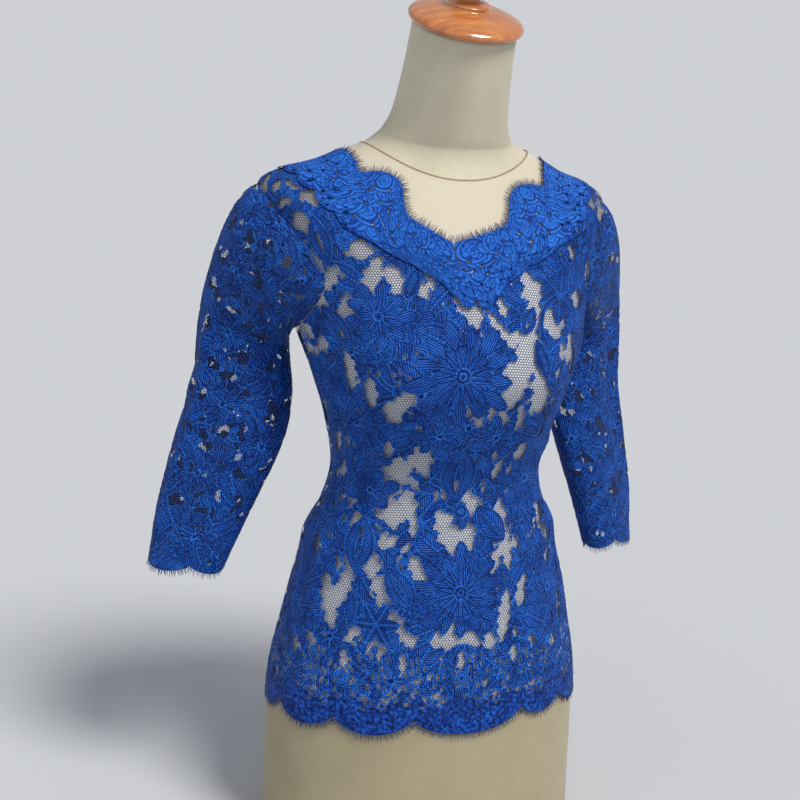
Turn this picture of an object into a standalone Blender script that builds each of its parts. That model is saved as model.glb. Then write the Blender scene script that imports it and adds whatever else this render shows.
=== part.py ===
"""Kebaya blouse of blue corded lace on its limbless dress form.

Metres, +Z up.  The origin is the middle of the form's base, the front faces -Y and the
garment's left side is +X.  Every cloth piece is worked out from one chart of the torso: a
height runs up the side seam from the notches of the hem, over the shoulder tip and in to the
round neckline, and an angle runs round from centre front.  Sleeves are tubes that start on the
armhole curve of that chart and end in a row of rings.
"""

import math
from collections import namedtuple

import bmesh
import bpy
from mathutils import Matrix, Vector

MM = 0.001
FULL_TURN = 2 * math.pi

# Driving sizes of the form and the blouse
NECK_POINT_HEIGHT = 0.715
BASE_PLATE_HEIGHT = 0.0097
BASE_PLATE_INSET = 0.0015
BASE_PLATE_CHAMFER = 0.0025
PLAN_SQUARENESS = 0.94
BUST_HEIGHT = 0.330
BUST_ANGLE = math.radians(34)
BUST_SPREAD = math.radians(20)
BUST_REACH = 0.055
BUST_FULLNESS = 0.010

# Layers above the chart: the form lies under it, the cloth over it
FORM_CLEARANCE = 2.0 * MM
NECK_CLEARANCE = 0.4 * MM
NECK_CONTACT = 5 * MM
TAPE_LIFT, TAPE_WALL = 0.15 * MM, 0.6 * MM
PANEL_LIFT, LACE_WALL = 1.8 * MM, 1.2 * MM
TULLE_WALL = 1.0 * MM
BORDER_LIFT, BORDER_WALL = PANEL_LIFT + LACE_WALL + 0.9 * MM, 1.2 * MM
SLIDER_LIFT = PANEL_LIFT + TULLE_WALL + 0.4 * MM
SEAM_GAP = 0.5 * MM
YOKE_GAP = 1.0 * MM
CENTRE_GAP = 0.002

# How finely the walls are divided
COLUMNS_PER_QUARTER = 12
SIDE_ROWS = 12
ARMHOLE_ROWS = 10
SHOULDER_ROWS = 4
YOKE_ROWS = 4
BORDER_ROWS = 4
FORM_COLUMNS = 32
FORM_SIDE_ROWS = 15
FORM_ARMHOLE_ROWS = 6
FORM_SHOULDER_ROWS = 6
FORM_NECK_STEPS = (-0.010, -0.005, 0.0, 0.002)
SLEEVE_CAP_ROWS = 5
SLEEVE_ROWS = 10
CAP_COLUMNS = 24
ZIP_ROWS = 22
ZIP_COLUMNS = 2

# Small steps from which the walls' directions are found
NORMAL_STEP = 2 * MM
NORMAL_TURN = 0.016
SLEEVE_TURN_STEP = 0.02
SLEEVE_ROW_STEP = 0.01
SHARP_ANGLE = math.radians(50)

# Torso rings: heights and reaches are measured from the side neck point and the origin's axis
Ring = namedtuple("Ring", "name side_z half_width side_y front_y front_drop back_y back_drop")
RINGS = (
    Ring("base", -0.705, 0.170, 0.000, -0.118, 0.000, 0.120, 0.000),
    Ring("hem", -0.555, 0.165, 0.000, -0.118, 0.000, 0.118, 0.000),
    Ring("hip", -0.480, 0.149, 0.000, -0.112, 0.000, 0.110, 0.000),
    Ring("high hip", -0.415, 0.133, -0.002, -0.104, 0.000, 0.094, 0.000),
    Ring("waist", -0.335, 0.107, -0.008, -0.095, 0.000, 0.068, 0.000),
    Ring("ribs", -0.283, 0.1135, -0.012, -0.113, 0.000, 0.070, 0.000),
    Ring("bust", -0.228, 0.130, -0.010, -0.130, 0.000, 0.084, 0.000),
    Ring("armpit", -0.188, 0.144, 0.002, -0.126, 0.004, 0.093, 0.000),
    Ring("armhole", -0.120, 0.161, 0.020, -0.108, 0.026, 0.099, 0.004),
    Ring("shoulder tip", -0.052, 0.178, 0.036, -0.090, 0.060, 0.098, 0.014),
    Ring("shoulder", -0.028, 0.122, 0.022, -0.072, 0.046, 0.088, 0.019),
    Ring("neckline", -0.010, 0.084, 0.008, -0.050, 0.031, 0.066, 0.004),
)

# Neck rings of the form: each is an ellipse in a plane that tips forward
NeckRing = namedtuple("NeckRing", "name z y half_width half_depth tip")
NECK_RINGS = (
    NeckRing("flare", 0.001, 0.003, 0.067, 0.052, 15),
    NeckRing("low", 0.018, -0.004, 0.0585, 0.053, 16),
    NeckRing("middle", 0.050, -0.016, 0.0535, 0.052, 18),
    NeckRing("high", 0.080, -0.027, 0.0510, 0.0500, 21),
    NeckRing("top", 0.104, -0.036, 0.0500, 0.0490, 24),
)

# Turned wooden cap, from its flat underside up to the top of its knob
CapRing = namedtuple("CapRing", "name radius height")
CAP_RINGS = (
    CapRing("underside", 0.0500, 0.0003),
    CapRing("rim foot", 0.0540, 0.0013),
    CapRing("rim", 0.0555, 0.0042),
    CapRing("rim head", 0.0540, 0.0072),
    CapRing("dome foot", 0.0490, 0.0100),
    CapRing("dome", 0.0350, 0.0145),
    CapRing("step", 0.0215, 0.0172),
    CapRing("collar", 0.0195, 0.0212),
    CapRing("stem", 0.0102, 0.0240),
    CapRing("stem top", 0.0098, 0.0280),
    CapRing("knob foot", 0.0160, 0.0320),
    CapRing("knob", 0.0188, 0.0390),
    CapRing("knob head", 0.0150, 0.0462),
    CapRing("knob crown", 0.0074, 0.0502),
)
CAP_CROWN = 0.0015

# Sleeve rings, down from the bicep to the notches of the cuff: the ring's long way turns back
# at its outer end, and its outer end may stand higher than its inner one
SleeveRing = namedtuple("SleeveRing", "name z out back long_half short_half turn rise")
SLEEVE_RINGS = (
    SleeveRing("bicep", -0.206, 0.188, 0.058, 0.047, 0.034, 31, 0.30),
    SleeveRing("upper", -0.262, 0.190, 0.056, 0.053, 0.031, 32, 0.12),
    SleeveRing("elbow", -0.315, 0.204, 0.055, 0.057, 0.026, 32, 0.00),
    SleeveRing("forearm", -0.386, 0.227, 0.062, 0.050, 0.022, 33, 0.00),
    SleeveRing("cuff", -0.440, 0.242, 0.066, 0.042, 0.020, 33, 0.00),
)
CAP_PULL_TOP, CAP_PULL_UNDER = 0.100, 0.022
CAP_PULL_SLOPE = 0.35
CAP_DROP_TOP, CAP_DROP_UNDER = 0.120, 0.030
ARMHOLE_FRONT_DIP = math.radians(36)
ARMHOLE_BACK_DIP = math.radians(28)
ARMHOLE_ROUNDNESS = 0.75
ROOT_GAP_SHARE = 0.016
PIT_GAP_SHARE = 0.022

# Edges of the neckline, as depths below the round neck ring at angles from centre front
Edge = namedtuple("Edge", "degrees depth")
NECK_SCALLOPS = (
    Edge(0, 0.080), Edge(9, 0.066), Edge(19, 0.056), Edge(23, 0.044), Edge(28, 0.026),
    Edge(35, 0.019), Edge(44, 0.022), Edge(52, 0.034), Edge(58, 0.027), Edge(75, 0.021),
    Edge(90, 0.026), Edge(104, 0.036), Edge(120, 0.030), Edge(138, 0.044), Edge(158, 0.037),
    Edge(180, 0.050),
)
YOKE_SEAM = (
    Edge(0, 0.146), Edge(10, 0.136), Edge(20, 0.114), Edge(32, 0.090), Edge(45, 0.072),
    Edge(60, 0.058), Edge(90, 0.050), Edge(130, 0.062), Edge(180, 0.075),
)
BORDER_FOOT = (
    Edge(0, 0.192), Edge(8, 0.186), Edge(15, 0.160), Edge(25, 0.124), Edge(42, 0.100),
    Edge(60, 0.084), Edge(90, 0.078), Edge(130, 0.092), Edge(180, 0.106),
)
V_SHIFT = -0.065
MITRE_FOOT = -0.015

# Hem: the angles of the notches between its scallops, uneven as on the lace's own edge
HEM_NOTCHES = (-180, -142.5, -105, -75, -45, -15, 22.5, 45, 75, 105, 142.5, 180)
HEM_SCALLOP_DEPTH = 0.021
HEM_SCALLOP_WIDTH = math.radians(34)
HEM_FADE = 0.25
CUFF_SCALLOPS = 4
CUFF_SCALLOP_DEPTH = 0.010
CUFF_NOTCH_ANGLE = math.radians(18)

# Largest folds of the cloth: soft ridges over the chart, with their places and half sizes
Fold = namedtuple("Fold", "name height degrees half_height half_degrees swell")
FOLDS = (
    Fold("roll under the right waist", 0.165, -84, 0.020, 30, 0.0055),
    Fold("roll under the left waist", 0.172, 82, 0.018, 28, 0.0050),
    Fold("right princess fold", 0.225, -46, 0.070, 6, 0.0040),
    Fold("right side fold", 0.150, -66, 0.110, 6, 0.0032),
    Fold("left princess fold", 0.215, 50, 0.060, 7, 0.0034),
    Fold("right skirt fold", 0.060, -28, 0.090, 7, 0.0024),
    Fold("left skirt fold", 0.070, 33, 0.090, 8, 0.0024),
    Fold("back right fold", 0.200, -140, 0.080, 9, 0.0034),
    Fold("back left fold", 0.205, 142, 0.080, 9, 0.0034),
    Fold("roll under the back waist", 0.165, 180, 0.028, 34, 0.0045),
)

# Eyelash fringe: strips along the scalloped edges with strands of four sides
FRINGE_STRIP = 1.6 * MM
FRINGE_WALL = 0.9 * MM
STRAND_LENGTH = 7.5 * MM
STRAND_ROOT_SHARE = 0.22
STRAND_SLANT = 0.08
STRAND_SLANT_STEP = 1.7
STRAND_MARGIN = 0.01
SHARPEST_MITRE = 0.6
NECK_FRINGE_START = 0.014
NECK_STRAND_START = 0.4

# Concealed zip at centre back
ZIP_FOOT_HEIGHT = 0.100
ZIP_HALF_WIDTH = 0.007
ZIP_EASE_SHARE = 0.5
ZIP_HEAD_BELOW_NECK = 0.014
SLIDER_DEPTH_BELOW_NECK = 0.011

Material = namedtuple("Material", "name colour roughness metallic")
LACE_BLUE = Material("blue corded lace", (0.012, 0.075, 0.42), 0.75, 0.0)
BORDER_BLUE = Material("blue border lace", (0.025, 0.125, 0.52), 0.70, 0.0)
FRINGE_BLUE = Material("blue eyelash threads", (0.010, 0.055, 0.32), 0.80, 0.0)
NUDE_TULLE = Material("nude tulle", (0.80, 0.70, 0.52), 0.85, 0.0)
FORM_KNIT = Material("cream form knit", (0.66, 0.60, 0.44), 0.90, 0.0)
CAP_WOOD = Material("varnished cap wood", (0.52, 0.20, 0.06), 0.28, 0.0)
BASE_WOOD = Material("plain base board", (0.36, 0.24, 0.13), 0.60, 0.0)
ZIP_TAPE_BLUE = Material("blue zip tape", (0.012, 0.05, 0.30), 0.80, 0.0)
ZIP_ENAMEL = Material("blue enamelled zip metal", (0.02, 0.07, 0.34), 0.35, 0.6)

for old in list(bpy.data.objects):
    bpy.data.objects.remove(old)


class Curve:
    """A smooth curve through a table's places and values, straight beyond both ends."""

    def __init__(self, places, values):
        self.places = list(places)
        self.values = list(values)
        last = len(self.places) - 1
        self.slopes = []
        for i in range(last + 1):
            low, high = max(i - 1, 0), min(i + 1, last)
            rise = self.values[high] - self.values[low]
            self.slopes.append(rise / (self.places[high] - self.places[low]))

    def __call__(self, place):
        last = len(self.places) - 1
        if place <= self.places[0]:
            return self.values[0] + self.slopes[0] * (place - self.places[0])
        if place >= self.places[last]:
            return self.values[last] + self.slopes[last] * (place - self.places[last])
        i = 0
        while place > self.places[i + 1]:
            i += 1
        span = self.places[i + 1] - self.places[i]
        x = (place - self.places[i]) / span
        start = self.values[i] * (1 + 2 * x) * (1 - x) ** 2
        end = self.values[i + 1] * x * x * (3 - 2 * x)
        leave = self.slopes[i] * span * x * (1 - x) ** 2
        arrive = self.slopes[i + 1] * span * x * x * (x - 1)
        return start + end + leave + arrive


def ring_heights():
    """Heights of the torso rings along the side seam, with the hem at zero."""
    heights = [0.0]
    for below, above in zip(RINGS, RINGS[1:]):
        step = math.hypot(above.side_z - below.side_z, above.half_width - below.half_width)
        heights.append(heights[-1] + step)
    hem = [ring.name for ring in RINGS].index("hem")
    return [height - heights[hem] for height in heights]


HEIGHTS = ring_heights()
HEIGHT_OF = {ring.name: height for ring, height in zip(RINGS, HEIGHTS)}
COLUMN = {key: Curve(HEIGHTS, [getattr(ring, key) for ring in RINGS]) for key in Ring._fields[1:]}
NECK_HEIGHT = HEIGHT_OF["neckline"]
TIP_HEIGHT = HEIGHT_OF["shoulder tip"]
PIT_HEIGHT = HEIGHT_OF["armpit"]


def edge_curve(rows):
    """A curve of depth below the neck ring against the angle in degrees."""
    return Curve([row.degrees for row in rows], [row.depth for row in rows])


scallop_depth = edge_curve(NECK_SCALLOPS)
seam_depth = edge_curve(YOKE_SEAM)
border_depth = edge_curve(BORDER_FOOT)


def angle_between(angle, other):
    """The signed difference of two angles, between minus and plus half a turn."""
    return math.atan2(math.sin(angle - other), math.cos(angle - other))


def soft_bump(distance, reach):
    return math.exp(-((distance / reach) ** 2))


def torso_point(height, angle):
    """A point of the torso chart."""
    along, across = math.cos(angle), math.sin(angle)
    side_y = COLUMN["side_y"](height)
    reach = abs(along) ** PLAN_SQUARENESS
    x = COLUMN["half_width"](height) * math.copysign(abs(across) ** PLAN_SQUARENESS, across)
    if along >= 0:
        y = side_y + (COLUMN["front_y"](height) - side_y) * reach
        drop = COLUMN["front_drop"](height) * along * along
    else:
        y = side_y + (COLUMN["back_y"](height) - side_y) * reach
        drop = COLUMN["back_drop"](height) * along * along
    for side in (-1, 1):
        sideways = soft_bump(angle_between(angle, side * BUST_ANGLE), BUST_SPREAD)
        y -= BUST_FULLNESS * sideways * soft_bump(height - BUST_HEIGHT, BUST_REACH)
    return Vector((x, y, NECK_POINT_HEIGHT + COLUMN["side_z"](height) - drop))


def torso_normal(height, angle):
    """The outward normal of the torso chart."""
    up = torso_point(height + NORMAL_STEP, angle) - torso_point(height - NORMAL_STEP, angle)
    round_ = torso_point(height, angle + NORMAL_TURN) - torso_point(height, angle - NORMAL_TURN)
    return round_.cross(up).normalized()


def ease(height, angle):
    """How far the cloth's folds stand off the chart."""
    swell = 0.0
    for fold in FOLDS:
        sideways = angle_between(angle, math.radians(fold.degrees))
        reach = soft_bump(sideways, math.radians(fold.half_degrees))
        swell += fold.swell * reach * soft_bump(height - fold.height, fold.half_height)
    return swell


def cloth_place(height, angle):
    """A point on the cloth's chart with its normal."""
    normal = torso_normal(height, angle)
    return torso_point(height, angle) + normal * ease(height, angle), normal


def armhole_dip(height):
    """Share of the armhole's greatest width at this height, zero outside it."""
    share = (height - PIT_HEIGHT) / (TIP_HEIGHT - PIT_HEIGHT)
    if not 0 < share < 1:
        return 0.0
    return math.sin(math.pi * share) ** ARMHOLE_ROUNDNESS


def column_angle(height, column):
    """Angle of a garment column: 0 is centre front, 1 the side or armhole, 2 centre back."""
    share = abs(column)
    dip = armhole_dip(height)
    if share <= 1:
        angle = share * (math.pi / 2 - ARMHOLE_FRONT_DIP * dip)
    else:
        angle = math.pi - (2 - share) * (math.pi / 2 - ARMHOLE_BACK_DIP * dip)
    return math.copysign(angle, column)


def hem_height(column):
    """Height of the scalloped hem, zero at its notches and lower between them."""
    degrees = column * 90
    for left, right in zip(HEM_NOTCHES, HEM_NOTCHES[1:]):
        if left <= degrees <= right:
            width = math.radians(right - left)
            depth = HEM_SCALLOP_DEPTH * min(1.0, width / HEM_SCALLOP_WIDTH)
            across = (degrees - left) / (right - left)
            return -depth * math.sqrt(max(0.0, math.sin(math.pi * across)))
    return 0.0


def neckline_degrees(column):
    """Degrees from the neckline's V, which lies a little to the right of centre front."""
    shift = V_SHIFT * max(0.0, 1 - column * column)
    return abs(column - shift) * 90


def seam_height(column):
    return NECK_HEIGHT - seam_depth(neckline_degrees(column))


def panel_rows():
    """Shares of a panel's height, with rows that meet the sleeve's columns at the armhole."""
    shoulder = seam_height(1)
    rows = [PIT_HEIGHT * i / SIDE_ROWS for i in range(SIDE_ROWS)]
    for i in range(ARMHOLE_ROWS + 1):
        rise = (1 - math.cos(math.pi * i / ARMHOLE_ROWS)) / 2
        rows.append(PIT_HEIGHT + (TIP_HEIGHT - PIT_HEIGHT) * rise)
    for i in range(1, SHOULDER_ROWS + 1):
        rows.append(TIP_HEIGHT + (shoulder - TIP_HEIGHT) * i / SHOULDER_ROWS)
    return [row / shoulder for row in rows]


def new_object(name, mesh, material):
    """Put a mesh in the scene under its node's name and give it its own material."""
    shader = bpy.data.materials.new(f"{name} {material.name}")
    shader.use_nodes = True
    principled = shader.node_tree.nodes["Principled BSDF"]
    principled.inputs["Base Color"].default_value = (*material.colour, 1.0)
    principled.inputs["Roughness"].default_value = material.roughness
    principled.inputs["Metallic"].default_value = material.metallic
    shader.diffuse_color = (*material.colour, 1.0)
    mesh.materials.append(shader)
    mesh.shade_smooth()
    mesh.set_sharp_from_angle(angle=SHARP_ANGLE)
    thing = bpy.data.objects.new(name, mesh)
    bpy.context.scene.collection.objects.link(thing)
    return thing


def finish_mesh(name, bm, material):
    bmesh.ops.recalc_face_normals(bm, faces=bm.faces)
    mesh = bpy.data.meshes.new(name)
    bm.to_mesh(mesh)
    bm.free()
    return new_object(name, mesh, material)


def add_quad(bm, a, b, c, d):
    """Two triangles that always part along the same diagonal."""
    bm.faces.new((a, b, c))
    bm.faces.new((a, c, d))


def wall(name, columns, rows, place, lift, thickness, material, tube=False):
    """A cloth wall: two grids over place(column, row), one thickness apart, joined all round."""
    bm = bmesh.new()
    inner, outer = [], []
    for column in columns:
        lower, upper = [], []
        for row in rows:
            point, normal = place(column, row)
            lower.append(bm.verts.new(point + normal * lift))
            upper.append(bm.verts.new(point + normal * (lift + thickness)))
        inner.append(lower)
        outer.append(upper)
    count = len(columns)
    last = len(rows) - 1
    for i in range(count if tube else count - 1):
        j = (i + 1) % count
        for k in range(last):
            add_quad(bm, outer[i][k], outer[j][k], outer[j][k + 1], outer[i][k + 1])
            add_quad(bm, inner[i][k], inner[j][k], inner[j][k + 1], inner[i][k + 1])
        for k in (0, last):
            add_quad(bm, inner[i][k], inner[j][k], outer[j][k], outer[i][k])
    if not tube:
        for i in (0, count - 1):
            for k in range(last):
                add_quad(bm, inner[i][k], inner[i][k + 1], outer[i][k + 1], outer[i][k])
    return finish_mesh(name, bm, material)


def steps(start, end, count):
    return [start + (end - start) * i / count for i in range(count + 1)]


# Front and back panels
def panel_place(column, share):
    fade = max(0.0, 1 - share / HEM_FADE)
    height = seam_height(column) * share + hem_height(column) * fade
    return cloth_place(height, column_angle(height, column))


def build_panels():
    rows = panel_rows()
    front = steps(-1, 1, 2 * COLUMNS_PER_QUARTER)
    wall("front", front, rows, panel_place, PANEL_LIFT, LACE_WALL, LACE_BLUE)
    for name, side in (("back_left", 1), ("back_right", -1)):
        columns = steps(side * (1 + CENTRE_GAP), side * (2 - CENTRE_GAP), COLUMNS_PER_QUARTER)
        wall(name, columns, rows, panel_place, PANEL_LIFT, LACE_WALL, LACE_BLUE)


# Nude tulle yoke above the lace
def yoke_place(column, share):
    foot = seam_height(column) + YOKE_GAP
    height = foot + (NECK_HEIGHT - foot) * share
    return cloth_place(height, column_angle(height - YOKE_GAP, column))


def build_yokes():
    rows = steps(0, 1, YOKE_ROWS)
    front = steps(-1, 1, 2 * COLUMNS_PER_QUARTER)
    wall("yoke_front", front, rows, yoke_place, PANEL_LIFT, TULLE_WALL, NUDE_TULLE)
    for name, side in (("yoke_back_left", 1), ("yoke_back_right", -1)):
        columns = steps(side * (1 + CENTRE_GAP), side * (2 - CENTRE_GAP), COLUMNS_PER_QUARTER)
        wall(name, columns, rows, yoke_place, PANEL_LIFT, TULLE_WALL, NUDE_TULLE)


# Scalloped border lace round the neckline, mitred at centre front
def mitre_column(share):
    """The column of the border's mitre, from its foot up to the point of the V."""
    return MITRE_FOOT + (V_SHIFT - MITRE_FOOT) * share


def border_place(step, share):
    """A step runs from 0 at the mitre to 2 at centre back, and below 0 on the right."""
    mitre = mitre_column(share)
    column = step + mitre * (1 - abs(step) / 2)
    foot = NECK_HEIGHT - border_depth(abs(step) * 90)
    edge = NECK_HEIGHT - scallop_depth(abs(step) * 90)
    height = foot + (edge - foot) * share
    return cloth_place(height, column_angle(height, column))


def build_borders():
    rows = steps(0, 1, BORDER_ROWS)
    for name, side in (("neck_border_left", 1), ("neck_border_right", -1)):
        columns = steps(side * CENTRE_GAP, side * (2 - CENTRE_GAP), 2 * COLUMNS_PER_QUARTER)
        wall(name, columns, rows, border_place, BORDER_LIFT, BORDER_WALL, BORDER_BLUE)


# Sleeves
SLEEVE_PLACES = [SLEEVE_RINGS[0].z - ring.z for ring in SLEEVE_RINGS]
SLEEVE_COLUMN = {
    key: Curve(SLEEVE_PLACES, [getattr(ring, key) for ring in SLEEVE_RINGS])
    for key in SleeveRing._fields[1:]
}
SLEEVE_LENGTH = SLEEVE_PLACES[-1]


def sleeve_ring_point(side, down, around):
    """A point of the hanging tube: around is 0 outside, a quarter turn at the front."""
    turn = math.radians(SLEEVE_COLUMN["turn"](down))
    long_way = SLEEVE_COLUMN["long_half"](down) * math.cos(around)
    short_way = SLEEVE_COLUMN["short_half"](down) * math.sin(around)
    out = long_way * math.cos(turn) + short_way * math.sin(turn)
    back = long_way * math.sin(turn) - short_way * math.cos(turn)
    z = NECK_POINT_HEIGHT + SLEEVE_COLUMN["z"](down) + SLEEVE_COLUMN["rise"](down) * out
    return Vector((
        side * (SLEEVE_COLUMN["out"](down) + out),
        SLEEVE_COLUMN["back"](down) + back,
        z,
    ))


def armhole_point(side, around):
    """A point of the sleeve's root, just inside the armhole's edge on the chart."""
    middle = (TIP_HEIGHT + PIT_HEIGHT) / 2
    half = (TIP_HEIGHT - PIT_HEIGHT) / 2
    height = middle + half * math.cos(around)
    dip = ARMHOLE_FRONT_DIP if math.sin(around) >= 0 else -ARMHOLE_BACK_DIP
    angle = math.pi / 2 - dip * armhole_dip(height) * (1 - ROOT_GAP_SHARE)
    height = middle + (height - middle) * (1 - PIT_GAP_SHARE)
    point, normal = cloth_place(height, side * angle)
    return point + normal * (PANEL_LIFT + LACE_WALL / 2), normal


def sleeve_point(side, around, row):
    """Rows 0 to 1 run from the armhole to the bicep ring, and 1 to 2 down to the cuff."""
    if row >= 1:
        return sleeve_ring_point(side, (row - 1) * SLEEVE_LENGTH, around)
    top = (1 + math.cos(around)) / 2
    start = armhole_point(side, around)[0]
    end = sleeve_ring_point(side, 0.0, around)
    pull = CAP_PULL_UNDER + (CAP_PULL_TOP - CAP_PULL_UNDER) * top
    leave = Vector((side, 0.0, -CAP_PULL_SLOPE * top)) * pull
    drop = CAP_DROP_UNDER + (CAP_DROP_TOP - CAP_DROP_UNDER) * top
    below = sleeve_ring_point(side, NORMAL_STEP, around)
    arrive = (below - end).normalized() * drop
    x = row
    return (
        start * (1 + 2 * x) * (1 - x) ** 2
        + leave * x * (1 - x) ** 2
        + end * x * x * (3 - 2 * x)
        + arrive * x * x * (x - 1)
    )


def cuff_row(around):
    """The row of the scalloped cuff edge at this place around the sleeve."""
    wave = abs(math.sin(CUFF_SCALLOPS * (around - CUFF_NOTCH_ANGLE) / 2))
    return 2 + CUFF_SCALLOP_DEPTH * math.sqrt(wave) / SLEEVE_LENGTH


def sleeve_place(side):
    def place(around, row):
        if row > 1:
            row = 1 + (row - 1) * (cuff_row(around) - 1)
        point = sleeve_point(side, around, row)
        turn, step = SLEEVE_TURN_STEP, SLEEVE_ROW_STEP
        base = max(row, step)
        round_ = sleeve_point(side, around + turn, base) - sleeve_point(side, around - turn, base)
        down = sleeve_point(side, around, base + step) - sleeve_point(side, around, base - step)
        normal = down.cross(round_).normalized() * -side
        if row == 0:
            normal = (normal + armhole_point(side, around)[1]).normalized()
        return point, normal
    return place


def sleeve_columns():
    """Angles around the sleeve that meet the panels' rows at the armhole."""
    return [math.pi * i / ARMHOLE_ROWS for i in range(2 * ARMHOLE_ROWS)]


def build_sleeves():
    rows = steps(0, 1, SLEEVE_CAP_ROWS) + steps(1, 2, SLEEVE_ROWS)[1:]
    for name, side in (("sleeve_left", 1), ("sleeve_right", -1)):
        wall(name, sleeve_columns(), rows, sleeve_place(side), -LACE_WALL / 2, LACE_WALL,
             LACE_BLUE, tube=True)


# Eyelash fringe
def leaving_edge(places, away, closed):
    """For each edge place, the direction out of the cloth and along it, mitred at the place.

    away is 1 where a direction along the edge, crossed with the normal, leaves the cloth.
    """
    count = len(places)
    cells = count if closed else count - 1
    sides = []
    for i in range(cells):
        point, normal = places[i]
        following = places[(i + 1) % count][0]
        sides.append((following - point).cross(normal).normalized() * away)
    mitres = []
    for i in range(count):
        before = sides[(i - 1) % cells] if closed or i > 0 else sides[0]
        after = sides[i % cells] if closed or i < cells else sides[-1]
        middle = (before + after).normalized()
        mitres.append(middle / max(SHARPEST_MITRE, middle.dot(after)))
    return sides, mitres


def fringe(name, places, away, strands, lift, first=0.0, closed=False):
    """A strip along a wall's edge places, with strands of four sides in each of its cells.

    strands counts those in one cell, and first is the share of a cell before each of them.
    """
    bm = bmesh.new()
    sides, mitres = leaving_edge(places, away, closed)
    count = len(places)

    def beyond(place, reach, rise):
        index = int(place)
        part = place - index
        point, normal = places[index % count]
        outwards = mitres[index % count]
        if part > 0:
            following, next_normal = places[(index + 1) % count]
            point = point.lerp(following, part)
            normal = normal.lerp(next_normal, part).normalized()
            outwards = sides[index]
        return point + outwards * reach + normal * (lift + rise)

    stops = []
    for i in range(len(sides)):
        if first > 0:
            stops.append((i, False))
        for j in range(strands):
            start = i + (j + first) / strands
            stops.append((start, True))
            stops.append((start + STRAND_ROOT_SHARE / strands, False))
    if not closed:
        stops.append((len(sides), False))
    far = SEAM_GAP + FRINGE_STRIP
    corners = ((SEAM_GAP, 0), (SEAM_GAP, FRINGE_WALL), (far, FRINGE_WALL), (far, 0))
    ribs = [[bm.verts.new(beyond(stop, *corner)) for corner in corners] for stop, _ in stops]
    for i in range(len(ribs) if closed else len(ribs) - 1):
        rib, following = ribs[i], ribs[(i + 1) % len(ribs)]
        for k in (0, 1, 3):
            add_quad(bm, rib[k], following[k], following[(k + 1) % 4], rib[(k + 1) % 4])
        place, rooted = stops[i]
        if not rooted:
            add_quad(bm, rib[2], following[2], following[3], rib[3])
            continue
        slant = STRAND_SLANT * math.sin(STRAND_SLANT_STEP * i)
        middle = place + STRAND_ROOT_SHARE / strands / 2 + slant
        middle = min(max(middle, int(place) + STRAND_MARGIN), int(place) + 1 - STRAND_MARGIN)
        tip = bm.verts.new(beyond(middle, far + STRAND_LENGTH, FRINGE_WALL / 2))
        root = (rib[2], following[2], following[3], rib[3])
        for k in range(4):
            bm.faces.new((root[k], root[(k + 1) % 4], tip))
    if not closed:
        for rib in (ribs[0], ribs[-1]):
            add_quad(bm, *rib)
    return finish_mesh(name, bm, FRINGE_BLUE)


def build_fringes():
    hem_columns = steps(-2 + CENTRE_GAP, 2 - CENTRE_GAP, 4 * COLUMNS_PER_QUARTER)
    hem_places = [panel_place(column, 0) for column in hem_columns]
    hem_lift = PANEL_LIFT + (LACE_WALL - FRINGE_WALL) / 2
    fringe("hem_fringe", hem_places, 1, 2, hem_lift)
    for name, side in (("left", 1), ("right", -1)):
        cuff_places = [sleeve_place(side)(around, 2) for around in sleeve_columns()]
        fringe(f"cuff_fringe_{name}", cuff_places, -side, 1, -FRINGE_WALL / 2, closed=True)
        neck_columns = steps(side * CENTRE_GAP, side * (2 - CENTRE_GAP), 2 * COLUMNS_PER_QUARTER)
        neck_columns[0] = side * NECK_FRINGE_START
        neck_places = [border_place(column, 1) for column in neck_columns]
        fringe(f"neck_fringe_{name}", neck_places, -side, 1, BORDER_LIFT,
               first=NECK_STRAND_START)


# Dress form
def form_inset(height):
    """How far the form lies under the chart, least where the yoke rests on its neck."""
    near_neck = soft_bump(height - NECK_HEIGHT, NECK_CONTACT)
    return FORM_CLEARANCE - (FORM_CLEARANCE - NECK_CLEARANCE + PANEL_LIFT) * near_neck


def neck_ring_points(z, y, half_width, half_depth, tip):
    tilt = Matrix.Rotation(math.radians(tip), 4, "X")
    centre = Vector((0.0, y, NECK_POINT_HEIGHT + z))
    points = []
    for i in range(FORM_COLUMNS):
        angle = FULL_TURN * i / FORM_COLUMNS
        flat = Vector((half_width * math.sin(angle), -half_depth * math.cos(angle), 0.0))
        points.append(centre + tilt @ flat)
    return points


def form_rings():
    neck = [NECK_HEIGHT + step for step in FORM_NECK_STEPS]
    heights = steps(HEIGHTS[0], PIT_HEIGHT, FORM_SIDE_ROWS)
    heights += steps(PIT_HEIGHT, TIP_HEIGHT, FORM_ARMHOLE_ROWS)[1:]
    heights += steps(TIP_HEIGHT, neck[0], FORM_SHOULDER_ROWS)[1:]
    heights += neck[1:]
    rings = []
    for height in heights:
        ring = []
        for i in range(FORM_COLUMNS):
            angle = FULL_TURN * i / FORM_COLUMNS
            normal = torso_normal(height, angle)
            if height == heights[0]:
                normal.z = 0.0
            ring.append(torso_point(height, angle) - normal * form_inset(height))
        rings.append(ring)
    for ring in NECK_RINGS:
        rings.append(neck_ring_points(*ring[1:]))
    return rings


def stack(name, rings, material, bottom, top):
    """A solid through rings of equal length, closed by flat faces or by end points."""
    bm = bmesh.new()
    made = [[bm.verts.new(point) for point in ring] for ring in rings]
    count = len(rings[0])
    for low, high in zip(made, made[1:]):
        for i in range(count):
            j = (i + 1) % count
            add_quad(bm, low[i], low[j], high[j], high[i])
    for ring, end in ((made[0], bottom), (made[-1], top)):
        if end is None:
            bm.faces.new(ring)
            continue
        point = bm.verts.new(end)
        for i in range(count):
            bm.faces.new((ring[i], ring[(i + 1) % count], point))
    return finish_mesh(name, bm, material)


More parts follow.
